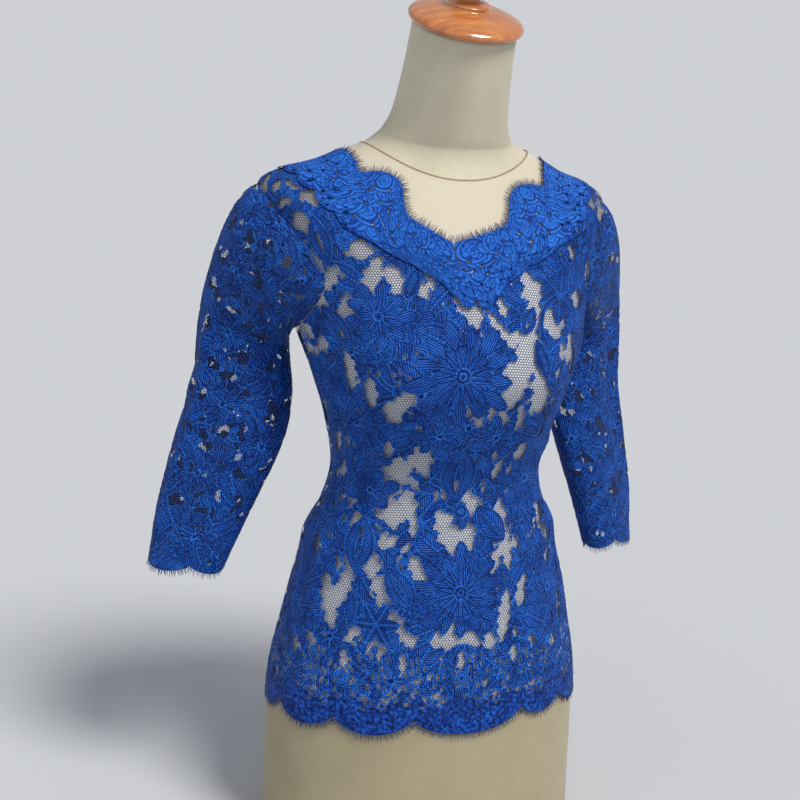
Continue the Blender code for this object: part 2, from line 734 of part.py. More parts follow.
def build_form():
    stack("form_body", form_rings(), FORM_KNIT, None, None)


def build_base_plate():
    inner = BASE_PLATE_INSET + BASE_PLATE_CHAMFER
    levels = (
        (0.0, inner), (BASE_PLATE_CHAMFER, BASE_PLATE_INSET),
        (BASE_PLATE_HEIGHT - BASE_PLATE_CHAMFER, BASE_PLATE_INSET), (BASE_PLATE_HEIGHT, inner),
    )
    rings = []
    for z, inwards in levels:
        ring = []
        for i in range(FORM_COLUMNS):
            angle = FULL_TURN * i / FORM_COLUMNS
            normal = torso_normal(HEIGHTS[0], angle)
            normal.z = 0.0
            point = torso_point(HEIGHTS[0], angle) - normal * (FORM_CLEARANCE + inwards)
            ring.append(Vector((point.x, point.y, z)))
        rings.append(ring)
    stack("base_plate", rings, BASE_WOOD, None, None)


def build_neck_cap():
    top = NECK_RINGS[-1]
    frame = Matrix.Translation((0.0, top.y, NECK_POINT_HEIGHT + top.z))
    frame = frame @ Matrix.Rotation(math.radians(top.tip), 4, "X")
    rings = []
    for ring in CAP_RINGS:
        points = []
        for i in range(CAP_COLUMNS):
            angle = FULL_TURN * i / CAP_COLUMNS
            flat = Vector((ring.radius * math.cos(angle), ring.radius * math.sin(angle), ring.height))
            points.append(frame @ flat)
        rings.append(points)
    crown = frame @ Vector((0.0, 0.0, CAP_RINGS[-1].height + CAP_CROWN))
    stack("neck_cap", rings, CAP_WOOD, None, crown)


# Concealed zip at centre back
def build_zip_tape():
    def place(across, height):
        angle = math.pi + across / COLUMN["half_width"](height)
        normal = torso_normal(height, angle)
        return torso_point(height, angle) + normal * ease(height, angle) * ZIP_EASE_SHARE, normal
    rows = steps(ZIP_FOOT_HEIGHT, NECK_HEIGHT - ZIP_HEAD_BELOW_NECK, ZIP_ROWS)
    columns = steps(-ZIP_HALF_WIDTH, ZIP_HALF_WIDTH, ZIP_COLUMNS)
    wall("zip_tape", columns, rows, place, TAPE_LIFT, TAPE_WALL, ZIP_TAPE_BLUE)


def slider_frame():
    """Right is +X, then out of the cloth, then up along centre back."""
    height = NECK_HEIGHT - SLIDER_DEPTH_BELOW_NECK
    point, out = cloth_place(height, math.pi)
    right = Vector((1.0, 0.0, 0.0))
    up = right.cross(out)
    frame = Matrix((right, out, up)).transposed().to_4x4()
    frame.translation = point + out * SLIDER_LIFT
    return frame


def add_box(bm, low, high):
    """A box between two corners, given in millimetres in the slider's frame."""
    middle = (Vector(low) + Vector(high)) / 2 * MM
    size = (Vector(high) - Vector(low)) * MM
    shape = Matrix.Translation(middle) @ Matrix.Diagonal((*size, 1.0))
    bmesh.ops.create_cube(bm, size=1.0, matrix=shape)


def outline_solid(bm, outline, low, high):
    """An outline across and up, given in millimetres, drawn out from low to high."""
    faces = []
    for out in (low, high):
        corners = [bm.verts.new(Vector((x, out, z)) * MM) for x, z in outline]
        faces.append(corners)
    count = len(outline)
    for i in range(count):
        j = (i + 1) % count
        bm.faces.new((faces[0][i], faces[0][j], faces[1][j], faces[1][i]))
    bm.faces.new(faces[0])
    bm.faces.new(faces[1])


def side_solid(bm, outline, half_width):
    """An outline out of the cloth and up, given in millimetres, drawn out to both sides."""
    faces = []
    for x in (-half_width, half_width):
        faces.append([bm.verts.new(Vector((x, out, z)) * MM) for out, z in outline])
    count = len(outline)
    for i in range(count):
        j = (i + 1) % count
        bm.faces.new((faces[0][i], faces[0][j], faces[1][j], faces[1][i]))
    bm.faces.new(faces[0])
    bm.faces.new(faces[1])


def joined(name, pieces, frame, material):
    """One solid from overlapping shapes, united by booleans and set in its frame."""
    result = None
    for i, make in enumerate(pieces):
        bm = bmesh.new()
        make(bm)
        bmesh.ops.recalc_face_normals(bm, faces=bm.faces)
        mesh = bpy.data.meshes.new(f"{name} piece {i}")
        bm.to_mesh(mesh)
        bm.free()
        if result is None:
            result = new_object(name, mesh, material)
            continue
        cutter = bpy.data.objects.new(f"{name}_piece_{i}", mesh)
        bpy.context.scene.collection.objects.link(cutter)
        cutter.hide_render = True
        cutter.display_type = "WIRE"
        cutter.matrix_world = frame
        union = result.modifiers.new(f"union {i}", "BOOLEAN")
        union.operation = "UNION"
        union.solver = "EXACT"
        union.object = cutter
    result.matrix_world = frame
    return result


# Slider and pull: sizes in millimetres, across, out of the cloth and up
SLIDER_WALL = 1.6
SLIDER_OUTLINE = ((-2.2, -5.5), (2.2, -5.5), (3.2, 1.5), (2.4, 5.2), (-2.4, 5.2), (-3.2, 1.5))
BAIL_HALF_WIDTH = 0.8
BAIL_FOOT, BAIL_HEAD = -0.4, 4.2
BAIL_TOP = 5.0
BAIL_BAR = 1.0
BAIL_ROOT = 0.5
PIVOT_OUT, PIVOT_UP = 2.95, 1.9
PULL_HALF_WIDTH = 2.9
PULL_INNER_HALF_WIDTH = 1.3
PULL_WALL_HALF = 0.6
ARM_THINNER, ARM_OVERLAP, ARM_HEAD = 0.05, 1.0, 0.3
WINDOW_FOOT = -3.7
PULL_FOOT = -22.9
DROP_THINNER = 0.1
DROP_WAIST_HALF, DROP_WAIST_BELOW = 1.5, 4.0
DROP_RADIUS = 3.2
DROP_CORNERS = 8


def slider_base(bm):
    outline_solid(bm, SLIDER_OUTLINE, 0.0, SLIDER_WALL)


def bail(bm):
    inside = SLIDER_WALL - BAIL_ROOT
    outline = (
        (inside, BAIL_FOOT), (BAIL_TOP, BAIL_FOOT), (BAIL_TOP, BAIL_HEAD), (inside, BAIL_HEAD),
        (inside, BAIL_HEAD - BAIL_BAR), (BAIL_TOP - BAIL_BAR, BAIL_HEAD - BAIL_BAR),
        (BAIL_TOP - BAIL_BAR, BAIL_FOOT + BAIL_BAR), (inside, BAIL_FOOT + BAIL_BAR),
    )
    side_solid(bm, outline, BAIL_HALF_WIDTH)


def pull_crossbar(bm):
    add_box(bm, (-PULL_HALF_WIDTH, -PULL_WALL_HALF, -PULL_WALL_HALF),
            (PULL_HALF_WIDTH, PULL_WALL_HALF, PULL_WALL_HALF))


def pull_arm(side):
    def make(bm):
        low, high = sorted((side * PULL_INNER_HALF_WIDTH, side * PULL_HALF_WIDTH))
        half = PULL_WALL_HALF - ARM_THINNER
        add_box(bm, (low, -half, WINDOW_FOOT - ARM_OVERLAP), (high, half, ARM_HEAD))
    return make


def pull_drop(bm):
    """The drop-shaped tab below the window."""
    shoulder = PULL_HALF_WIDTH - DROP_THINNER
    waist = WINDOW_FOOT - DROP_WAIST_BELOW
    outline = [(shoulder, WINDOW_FOOT), (-shoulder, WINDOW_FOOT), (-DROP_WAIST_HALF, waist)]
    middle = PULL_FOOT + DROP_RADIUS
    for i in range(DROP_CORNERS + 1):
        angle = math.pi + math.pi * i / DROP_CORNERS
        outline.append((DROP_RADIUS * math.cos(angle), middle + DROP_RADIUS * math.sin(angle)))
    outline.append((DROP_WAIST_HALF, waist))
    half = PULL_WALL_HALF - DROP_THINNER
    outline_solid(bm, outline, -half, half)


def build_zip_metal():
    frame = slider_frame()
    joined("zip_slider", (slider_base, bail), frame, ZIP_ENAMEL)
    pivot = frame @ Matrix.Translation((0.0, PIVOT_OUT * MM, PIVOT_UP * MM))
    pieces = (pull_crossbar, pull_arm(-1), pull_arm(1), pull_drop)
    joined("zip_pull", pieces, pivot, ZIP_ENAMEL)


build_form()
build_base_plate()
build_neck_cap()
build_panels()
build_yokes()
build_borders()
build_sleeves()
build_fringes()
build_zip_tape()
build_zip_metal()
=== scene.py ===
"""Blue corded lace kebaya blouse on its limbless dress form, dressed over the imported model.

Metres, +Z up, the garment's front faces -Y and its left side is +X.  The cloth is drawn on the
same chart of the torso as the solids: a height up the side seam and an angle from centre front.
Lace is laid out flat, in millimetres on each panel, from a few shapes: bloom, leaf, ring and arc.
"""

import math
from collections import namedtuple

import bmesh
import bpy
import numpy as np
from mathutils import Matrix, Vector


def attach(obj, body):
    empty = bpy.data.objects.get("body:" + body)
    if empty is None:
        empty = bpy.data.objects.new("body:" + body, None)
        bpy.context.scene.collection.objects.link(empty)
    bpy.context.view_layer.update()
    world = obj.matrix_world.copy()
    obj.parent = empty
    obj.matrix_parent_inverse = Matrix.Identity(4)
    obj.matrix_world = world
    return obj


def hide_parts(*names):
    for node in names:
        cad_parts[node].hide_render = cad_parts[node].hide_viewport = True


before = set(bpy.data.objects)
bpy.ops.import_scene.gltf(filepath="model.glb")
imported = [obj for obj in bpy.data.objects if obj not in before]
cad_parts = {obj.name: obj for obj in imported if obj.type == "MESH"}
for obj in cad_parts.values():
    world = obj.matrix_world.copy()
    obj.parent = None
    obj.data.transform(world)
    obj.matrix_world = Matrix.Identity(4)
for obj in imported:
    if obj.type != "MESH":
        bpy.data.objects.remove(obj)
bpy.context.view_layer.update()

MM = 0.001
FULL_TURN = 2 * math.pi

# Driving sizes, as in the part
NECK_POINT_HEIGHT = 0.715
PLAN_SQUARENESS = 0.94
BUST_HEIGHT = 0.330
BUST_ANGLE = math.radians(34)
BUST_SPREAD = math.radians(20)
BUST_REACH = 0.055
BUST_FULLNESS = 0.010
FORM_CLEARANCE = 0.8 * MM
NECK_CLEARANCE = 0.4 * MM
NECK_CONTACT = 5 * MM
PANEL_LIFT = 1.8 * MM
LACE_LIFT = 1.7 * MM
NET_LIFT = 1.3 * MM
YOKE_LIFT = 2.1 * MM
BORDER_LIFT = 3.3 * MM
YOKE_GAP = 1.0 * MM
CENTRE_GAP = 0.002
SEAM_GAP = 0.0003

Ring = namedtuple("Ring", "name side_z half_width side_y front_y front_drop back_y back_drop")
RINGS = (
    Ring("base", -0.705, 0.170, 0.000, -0.118, 0.000, 0.120, 0.000),
    Ring("hem", -0.555, 0.165, 0.000, -0.118, 0.000, 0.118, 0.000),
    Ring("hip", -0.480, 0.149, 0.000, -0.112, 0.000, 0.110, 0.000),
    Ring("high hip", -0.415, 0.133, -0.002, -0.104, 0.000, 0.094, 0.000),
    Ring("waist", -0.335, 0.107, -0.008, -0.095, 0.000, 0.068, 0.000),
    Ring("ribs", -0.283, 0.1135, -0.012, -0.113, 0.000, 0.070, 0.000),
    Ring("bust", -0.228, 0.130, -0.010, -0.130, 0.000, 0.084, 0.000),
    Ring("armpit", -0.188, 0.144, 0.002, -0.126, 0.004, 0.093, 0.000),
    Ring("armhole", -0.120, 0.161, 0.020, -0.108, 0.026, 0.099, 0.004),
    Ring("shoulder tip", -0.052, 0.178, 0.036, -0.090, 0.060, 0.098, 0.014),
    Ring("shoulder", -0.028, 0.122, 0.022, -0.072, 0.046, 0.088, 0.019),
    Ring("neckline", -0.010, 0.084, 0.008, -0.050, 0.031, 0.066, 0.004),
)

NeckRing = namedtuple("NeckRing", "name z y half_width half_depth tip")
NECK_RINGS = (
    NeckRing("flare", 0.001, 0.003, 0.067, 0.052, 15),
    NeckRing("low", 0.018, -0.004, 0.0585, 0.053, 16),
    NeckRing("middle", 0.050, -0.016, 0.0535, 0.052, 18),
    NeckRing("high", 0.080, -0.027, 0.0510, 0.0500, 21),
    NeckRing("top", 0.104, -0.036, 0.0500, 0.0490, 24),
)

CapRing = namedtuple("CapRing", "name radius height")
CAP_RINGS = (
    CapRing("underside", 0.0500, 0.0003),
    CapRing("rim foot", 0.0540, 0.0013),
    CapRing("rim", 0.0555, 0.0042),
    CapRing("rim head", 0.0540, 0.0072),
    CapRing("dome foot", 0.0490, 0.0100),
    CapRing("dome", 0.0350, 0.0145),
    CapRing("step", 0.0215, 0.0172),
    CapRing("collar", 0.0195, 0.0212),
    CapRing("stem", 0.0102, 0.0240),
    CapRing("stem top", 0.0098, 0.0280),
    CapRing("knob foot", 0.0160, 0.0320),
    CapRing("knob", 0.0188, 0.0390),
    CapRing("knob head", 0.0150, 0.0462),
    CapRing("knob crown", 0.0074, 0.0502),
    CapRing("knob top", 0.0000, 0.0516),
)

SleeveRing = namedtuple("SleeveRing", "name z out back long_half short_half turn rise")
SLEEVE_RINGS = (
    SleeveRing("bicep", -0.206, 0.188, 0.058, 0.047, 0.034, 31, 0.30),
    SleeveRing("upper", -0.262, 0.190, 0.056, 0.053, 0.031, 32, 0.12),
    SleeveRing("elbow", -0.315, 0.204, 0.055, 0.057, 0.026, 32, 0.00),
    SleeveRing("forearm", -0.386, 0.227, 0.062, 0.050, 0.022, 33, 0.00),
    SleeveRing("cuff", -0.440, 0.242, 0.066, 0.042, 0.020, 33, 0.00),
)
CAP_PULL_TOP, CAP_PULL_UNDER = 0.100, 0.022
CAP_PULL_SLOPE = 0.35
CAP_DROP_TOP, CAP_DROP_UNDER = 0.120, 0.030
ARMHOLE_FRONT_DIP = math.radians(36)
ARMHOLE_BACK_DIP = math.radians(28)
ARMHOLE_ROUNDNESS = 0.75
ROOT_GAP_SHARE = 0.016
PIT_GAP_SHARE = 0.022

Edge = namedtuple("Edge", "degrees depth")
NECK_SCALLOPS = (
    Edge(0, 0.080), Edge(9, 0.066), Edge(19, 0.056), Edge(23, 0.044), Edge(28, 0.026),
    Edge(35, 0.019), Edge(44, 0.022), Edge(52, 0.034), Edge(58, 0.027), Edge(75, 0.021),
    Edge(90, 0.026), Edge(104, 0.036), Edge(120, 0.030), Edge(138, 0.044), Edge(158, 0.037),
    Edge(180, 0.050),
)
YOKE_SEAM = (
    Edge(0, 0.146), Edge(10, 0.136), Edge(20, 0.114), Edge(32, 0.090), Edge(45, 0.072),
    Edge(60, 0.058), Edge(90, 0.050), Edge(130, 0.062), Edge(180, 0.075),
)
BORDER_FOOT = (
    Edge(0, 0.192), Edge(8, 0.186), Edge(15, 0.160), Edge(25, 0.124), Edge(42, 0.100),
    Edge(60, 0.084), Edge(90, 0.078), Edge(130, 0.092), Edge(180, 0.106),
)
V_SHIFT = -0.065
MITRE_FOOT = -0.015
HEM_NOTCHES = (-180, -142.5, -105, -75, -45, -15, 22.5, 45, 75, 105, 142.5, 180)
HEM_SCALLOP_DEPTH = 0.021
HEM_SCALLOP_WIDTH = math.radians(34)
HEM_FADE = 0.25
CUFF_SCALLOPS = 4
CUFF_SCALLOP_DEPTH = 0.010
CUFF_NOTCH_ANGLE = math.radians(18)

Fold = namedtuple("Fold", "name height degrees half_height half_degrees swell")
FOLDS = (
    Fold("roll under the right waist", 0.165, -84, 0.020, 30, 0.0055),
    Fold("roll under the left waist", 0.172, 82, 0.018, 28, 0.0050),
    Fold("right princess fold", 0.225, -46, 0.070, 6, 0.0040),
    Fold("right side fold", 0.150, -66, 0.110, 6, 0.0032),
    Fold("left princess fold", 0.215, 50, 0.060, 7, 0.0034),
    Fold("right skirt fold", 0.060, -28, 0.090, 7, 0.0024),
    Fold("left skirt fold", 0.070, 33, 0.090, 8, 0.0024),
    Fold("back right fold", 0.200, -140, 0.080, 9, 0.0034),
    Fold("back left fold", 0.205, 142, 0.080, 9, 0.0034),
    Fold("roll under the back waist", 0.165, 180, 0.028, 34, 0.0045),
)

# Smaller creases: soft ridges and troughs at a slant, sizes in millimetres on the cloth
Crease = namedtuple("Crease", "name height degrees turn half_length half_width swell")
CREASES = (
    Crease("right drag under the bust", 0.272, -52, 58, 46, 6, -1.7),
    Crease("right drag beside it", 0.262, -58, 62, 40, 6, 2.2),
    Crease("right waist pull", 0.195, -60, 78, 30, 4, -1.7),
    Crease("right waist ridge", 0.187, -56, 82, 34, 4, 2.5),
    Crease("left waist pull", 0.200, 56, 98, 30, 4, -1.7),
    Crease("left waist ridge", 0.190, 60, 94, 32, 4, 2.4),
    Crease("left drag under the bust", 0.272, 56, 122, 42, 6, 2.0),
    Crease("centre waist pull", 0.206, -8, 84, 48, 5, -1.2),
    Crease("centre waist ridge", 0.196, -4, 88, 52, 5, 1.7),
    Crease("right hip line", 0.105, -72, 8, 60, 6, 2.5),
    Crease("right hip trough", 0.105, -79, 8, 60, 5, -1.6),
    Crease("left hip line", 0.100, 70, -8, 55, 7, 2.0),
    Crease("right chest pull", 0.425, -46, -38, 36, 6, 1.2),
    Crease("left chest pull", 0.425, 46, 38, 36, 6, 1.2),
    Crease("right armpit pull", 0.375, -64, 20, 34, 5, 2.2),
    Crease("left armpit pull", 0.375, 62, -20, 30, 5, 2.2),
    Crease("back waist pull", 0.200, 168, 86, 50, 5, 1.9),
    Crease("back waist trough", 0.210, -166, 94, 46, 5, -1.3),
    Crease("back drag", 0.290, 150, 66, 46, 7, 2.0),
    Crease("back drag right", 0.290, -150, 114, 46, 7, 2.0),
)
CREASE_RADIUS = 130

# Creases of the sleeves: down is metres below the shoulder along the sleeve's rows
SleeveCrease = namedtuple("SleeveCrease", "name row degrees turn half_length half_width swell")
SLEEVE_CREASES = (
    SleeveCrease("long front fold", 1.15, 52, 3, 120, 7, 4.3),
    SleeveCrease("trough behind it", 1.20, 78, 3, 120, 8, -3.2),
    SleeveCrease("elbow pull", 1.42, 110, 62, 26, 5, 2.2),
    SleeveCrease("elbow trough", 1.36, 112, 66, 24, 4, -1.7),
    SleeveCrease("elbow lower pull", 1.54, 100, 52, 26, 5, 1.9),
    SleeveCrease("armpit pull", 0.98, 118, 58, 26, 5, 2.4),
    SleeveCrease("armpit trough", 0.88, 112, 62, 24, 5, -1.8),
    SleeveCrease("outer slant", 1.28, 8, 40, 34, 6, 1.9),
    SleeveCrease("outer trough", 1.20, 4, 44, 30, 6, -1.5),
    SleeveCrease("forearm line", 1.75, 40, 6, 40, 5, 2.2),
    SleeveCrease("back fold", 1.25, -70, -4, 110, 8, 3.2),
    SleeveCrease("back elbow pull", 1.45, -96, -58, 28, 5, 2.0),
)
SLEEVE_RADIUS = 42


class Curve:
    """A smooth curve through a table's places and values, straight beyond both ends."""

    def __init__(self, places, values):
        self.places = np.array(places, float)
        self.values = np.array(values, float)
        last = len(self.places) - 1
        low = np.maximum(np.arange(last + 1) - 1, 0)
        high = np.minimum(np.arange(last + 1) + 1, last)
        rise = self.values[high] - self.values[low]
        self.slopes = rise / (self.places[high] - self.places[low])

    def __call__(self, place):
        place = np.asarray(place, float)
        last = len(self.places) - 1
        i = np.clip(np.searchsorted(self.places, place) - 1, 0, last - 1)
        span = self.places[i + 1] - self.places[i]
        x = (place - self.places[i]) / span
        smooth = self.values[i] * (1 + 2 * x) * (1 - x) ** 2
        smooth += self.values[i + 1] * x * x * (3 - 2 * x)
        smooth += self.slopes[i] * span * x * (1 - x) ** 2
        smooth += self.slopes[i + 1] * span * x * x * (x - 1)
        under = self.values[0] + self.slopes[0] * (place - self.places[0])
        over = self.values[last] + self.slopes[last] * (place - self.places[last])
        ended = np.where(place <= self.places[0], under, smooth)
        return np.where(place >= self.places[last], over, ended)


def ring_heights():
    heights = [0.0]
    for below, above in zip(RINGS, RINGS[1:]):
        step = math.hypot(above.side_z - below.side_z, above.half_width - below.half_width)
        heights.append(heights[-1] + step)
    hem = [ring.name for ring in RINGS].index("hem")
    return [height - heights[hem] for height in heights]


HEIGHTS = ring_heights()
HEIGHT_OF = {ring.name: height for ring, height in zip(RINGS, HEIGHTS)}
COLUMN = {key: Curve(HEIGHTS, [getattr(ring, key) for ring in RINGS]) for key in Ring._fields[1:]}
NECK_HEIGHT = HEIGHT_OF["neckline"]
TIP_HEIGHT = HEIGHT_OF["shoulder tip"]
PIT_HEIGHT = HEIGHT_OF["armpit"]


def edge_curve(rows):
    return Curve([row.degrees for row in rows], [row.depth for row in rows])


scallop_depth = edge_curve(NECK_SCALLOPS)
seam_depth = edge_curve(YOKE_SEAM)
border_depth = edge_curve(BORDER_FOOT)


def angle_between(angle, other):
    return np.arctan2(np.sin(angle - other), np.cos(angle - other))


def soft_bump(distance, reach):
    return np.exp(-((distance / reach) ** 2))


def stacked(x, y, z):
    x, y, z = np.broadcast_arrays(x, y, z)
    return np.stack((x, y, z), axis=-1)


def unit(vectors):
    return vectors / np.maximum(np.linalg.norm(vectors, axis=-1, keepdims=True), 1e-12)


def torso_point(height, angle):
    """A point of the torso chart."""
    along, across = np.cos(angle), np.sin(angle)
    side_y = COLUMN["side_y"](height)
    reach = np.abs(along) ** PLAN_SQUARENESS
    x = COLUMN["half_width"](height) * np.sign(across) * np.abs(across) ** PLAN_SQUARENESS
    front = along >= 0
    far_y = np.where(front, COLUMN["front_y"](height), COLUMN["back_y"](height))
    drop = np.where(front, COLUMN["front_drop"](height), COLUMN["back_drop"](height))
    y = side_y + (far_y - side_y) * reach
    for side in (-1, 1):
        sideways = soft_bump(angle_between(angle, side * BUST_ANGLE), BUST_SPREAD)
        y = y - BUST_FULLNESS * sideways * soft_bump(height - BUST_HEIGHT, BUST_REACH)
    z = NECK_POINT_HEIGHT + COLUMN["side_z"](height) - drop * along * along
    return stacked(x, y, z)


def torso_normal(height, angle):
    step, turn = 0.002, 0.016
    up = torso_point(height + step, angle) - torso_point(height - step, angle)
    round_ = torso_point(height, angle + turn) - torso_point(height, angle - turn)
    return unit(np.cross(round_, up))


def slanted_swell(creases, down_key, place_down, place_angle, scale, radius):
    """Sum of the soft ridges and troughs of a crease table, in metres."""
    swell = 0.0
    for crease in creases:
        across = angle_between(place_angle, math.radians(crease.degrees)) * radius
        up = (place_down - getattr(crease, down_key)) * scale
        turn = math.radians(crease.turn)
        along = up * math.cos(turn) + across * math.sin(turn)
        beside = across * math.cos(turn) - up * math.sin(turn)
        ridge = soft_bump(along, crease.half_length) * soft_bump(beside, crease.half_width)
        swell = swell + crease.swell * ridge * MM
    return swell


def ease(height, angle):
    """How far the folds and creases stand off the chart."""
    swell = 0.0
    for fold in FOLDS:
        sideways = angle_between(angle, math.radians(fold.degrees))
        reach = soft_bump(sideways, math.radians(fold.half_degrees))
        swell = swell + fold.swell * reach * soft_bump(height - fold.height, fold.half_height)
    return swell + slanted_swell(CREASES, "height", height, angle, 1000, CREASE_RADIUS)


def cloth_place(height, angle):
    normal = torso_normal(height, angle)
    return torso_point(height, angle) + normal * ease(height, angle)[..., None], normal


def armhole_dip(height):
    share = (height - PIT_HEIGHT) / (TIP_HEIGHT - PIT_HEIGHT)
    inside = (share > 0) & (share < 1)
    wave = np.sin(math.pi * np.clip(share, 0, 1))
    return np.where(inside, np.maximum(wave, 0) ** ARMHOLE_ROUNDNESS, 0.0)


def column_angle(height, column):
    """Angle of a garment column: 0 is centre front, 1 the side or armhole, 2 centre back."""
    share = np.abs(column)
    dip = armhole_dip(height)
    front = share * (math.pi / 2 - ARMHOLE_FRONT_DIP * dip)
    back = math.pi - (2 - share) * (math.pi / 2 - ARMHOLE_BACK_DIP * dip)
    return np.copysign(np.where(share <= 1, front, back), column)


def hem_height(column):
    """Height of the scalloped hem, zero at its notches and lower between them."""
    degrees = np.asarray(column, float) * 90
    fall = np.zeros_like(degrees)
    for left, right in zip(HEM_NOTCHES, HEM_NOTCHES[1:]):
        width = math.radians(right - left)
        depth = HEM_SCALLOP_DEPTH * min(1.0, width / HEM_SCALLOP_WIDTH)
        across = np.clip((degrees - left) / (right - left), 0, 1)
        wave = np.sqrt(np.maximum(np.sin(math.pi * across), 0))
        fall = np.where((degrees >= left) & (degrees <= right), -depth * wave, fall)
    return fall


def seam_height(column):
    shift = V_SHIFT * np.maximum(0.0, 1 - column * column)
    return NECK_HEIGHT - seam_depth(np.abs(column - shift) * 90)


def panel_place(column, share):
    fade = np.maximum(0.0, 1 - share / HEM_FADE)
    height = seam_height(column) * share + hem_height(column) * fade
    return cloth_place(height, column_angle(height, column))


def yoke_place(column, share):
    foot = seam_height(column) + YOKE_GAP
    height = foot + (NECK_HEIGHT - foot) * share
    return cloth_place(height, column_angle(height - YOKE_GAP, column))


def border_place(step, share):
    """A step runs from 0 at the mitre to 2 at centre back, and below 0 on the right."""
    mitre = MITRE_FOOT + (V_SHIFT - MITRE_FOOT) * share
    column = step + mitre * (1 - np.abs(step) / 2)
    foot = NECK_HEIGHT - border_depth(np.abs(step) * 90)
    edge = NECK_HEIGHT - scallop_depth(np.abs(step) * 90)
    height = foot + (edge - foot) * share
    return cloth_place(height, column_angle(height, column))


SLEEVE_PLACES = [SLEEVE_RINGS[0].z - ring.z for ring in SLEEVE_RINGS]
SLEEVE_COLUMN = {
    key: Curve(SLEEVE_PLACES, [getattr(ring, key) for ring in SLEEVE_RINGS])
    for key in SleeveRing._fields[1:]
}
SLEEVE_LENGTH = SLEEVE_PLACES[-1]


def sleeve_ring_point(side, down, around):
    turn = np.radians(SLEEVE_COLUMN["turn"](down))
    long_way = SLEEVE_COLUMN["long_half"](down) * np.cos(around)
    short_way = SLEEVE_COLUMN["short_half"](down) * np.sin(around)
    out = long_way * np.cos(turn) + short_way * np.sin(turn)
    back = long_way * np.sin(turn) - short_way * np.cos(turn)
    z = NECK_POINT_HEIGHT + SLEEVE_COLUMN["z"](down) + SLEEVE_COLUMN["rise"](down) * out
    x = side * (SLEEVE_COLUMN["out"](down) + out)
    return stacked(x, SLEEVE_COLUMN["back"](down) + back, z)


def armhole_point(side, around):
    middle = (TIP_HEIGHT + PIT_HEIGHT) / 2
    half = (TIP_HEIGHT - PIT_HEIGHT) / 2
    height = middle + half * np.cos(around)
    dip = np.where(np.sin(around) >= 0, ARMHOLE_FRONT_DIP, -ARMHOLE_BACK_DIP)
    angle = math.pi / 2 - dip * armhole_dip(height) * (1 - ROOT_GAP_SHARE)
    height = middle + (height - middle) * (1 - PIT_GAP_SHARE)
    point, normal = cloth_place(height, side * angle)
    return point + normal * LACE_LIFT, normal


def sleeve_shape(side, around, row):
    """Rows 0 to 1 run from the armhole to the bicep ring, and 1 to 2 down to the cuff."""
    around, row = np.broadcast_arrays(np.asarray(around, float), np.asarray(row, float))
    top = ((1 + np.cos(around)) / 2)[..., None]
    start = armhole_point(side, around)[0]
    end = sleeve_ring_point(side, np.zeros_like(around), around)
    pull = CAP_PULL_UNDER + (CAP_PULL_TOP - CAP_PULL_UNDER) * top
    slope = -CAP_PULL_SLOPE * top[..., 0]
    leave = stacked(np.full_like(around, side), 0.0, slope) * pull
    drop = CAP_DROP_UNDER + (CAP_DROP_TOP - CAP_DROP_UNDER) * top
    below = sleeve_ring_point(side, np.full_like(around, 0.002), around)
    arrive = unit(below - end) * drop
    x = np.minimum(row, 1)[..., None]
    cap = start * (1 + 2 * x) * (1 - x) ** 2 + leave * x * (1 - x) ** 2
    cap += end * x * x * (3 - 2 * x) + arrive * x * x * (x - 1)
    tube = sleeve_ring_point(side, np.maximum(row - 1, 0) * SLEEVE_LENGTH, around)
    return np.where((row >= 1)[..., None], tube, cap)


def sleeve_place(side, around, row):
    """A point of the sleeve with its outward normal and its creases."""
    wave = np.abs(np.sin(CUFF_SCALLOPS * (around - CUFF_NOTCH_ANGLE) / 2))
    cuff = 2 + CUFF_SCALLOP_DEPTH * np.sqrt(wave) / SLEEVE_LENGTH
    row = np.where(row > 1, 1 + (row - 1) * (cuff - 1), row)
    turn, step = 0.02, 0.01
    base = np.maximum(row, step)
    round_ = sleeve_shape(side, around + turn, base) - sleeve_shape(side, around - turn, base)
    down = sleeve_shape(side, around, base + step) - sleeve_shape(side, around, base - step)
    normal = unit(np.cross(down, round_)) * -side
    length = SLEEVE_LENGTH * 1000
    swell = slanted_swell(SLEEVE_CREASES, "row", row, around, -length, SLEEVE_RADIUS)
    swell = swell * np.clip(row * 3, 0, 1) * np.clip((2.05 - row) * 8, 0, 1)
    return sleeve_shape(side, around, row) + normal * swell[..., None], normal


# Flat coordinates of the torso, in millimetres: round from centre front and up from the hem line
FLAT_HEIGHTS = np.linspace(-0.160, 0.640, 401)
FLAT_ANGLES = np.linspace(-math.pi, math.pi, 361)


def flat_tables():
    heights, angles = np.meshgrid(FLAT_HEIGHTS, FLAT_ANGLES, indexing="ij")
    points = torso_point(heights, angles)
    u = np.zeros(heights.shape)
    u[:, 1:] = np.cumsum(np.linalg.norm(np.diff(points, axis=1), axis=-1), axis=1)
    u -= u[:, len(FLAT_ANGLES) // 2][:, None]
    v = np.zeros(heights.shape)
    v[1:] = np.cumsum(np.linalg.norm(np.diff(points, axis=0), axis=-1), axis=0)
    v -= v[np.searchsorted(FLAT_HEIGHTS, 0.0)]
    return u / MM, v / MM


FLAT_U, FLAT_V = flat_tables()


def looked_up(table, i, j):
    """Bilinear reading of a table at fractional rows and columns."""
    i = np.clip(i, 0, table.shape[0] - 1.001)
    j = np.clip(j, 0, table.shape[1] - 1.001)
    low_i, low_j = np.floor(i).astype(int), np.floor(j).astype(int)
    part_i, part_j = i - low_i, j - low_j
    if table.ndim == 3:
        part_i, part_j = part_i[..., None], part_j[..., None]
    near = table[low_i, low_j] * (1 - part_j) + table[low_i, low_j + 1] * part_j
    far = table[low_i + 1, low_j] * (1 - part_j) + table[low_i + 1, low_j + 1] * part_j
    return near * (1 - part_i) + far * part_i


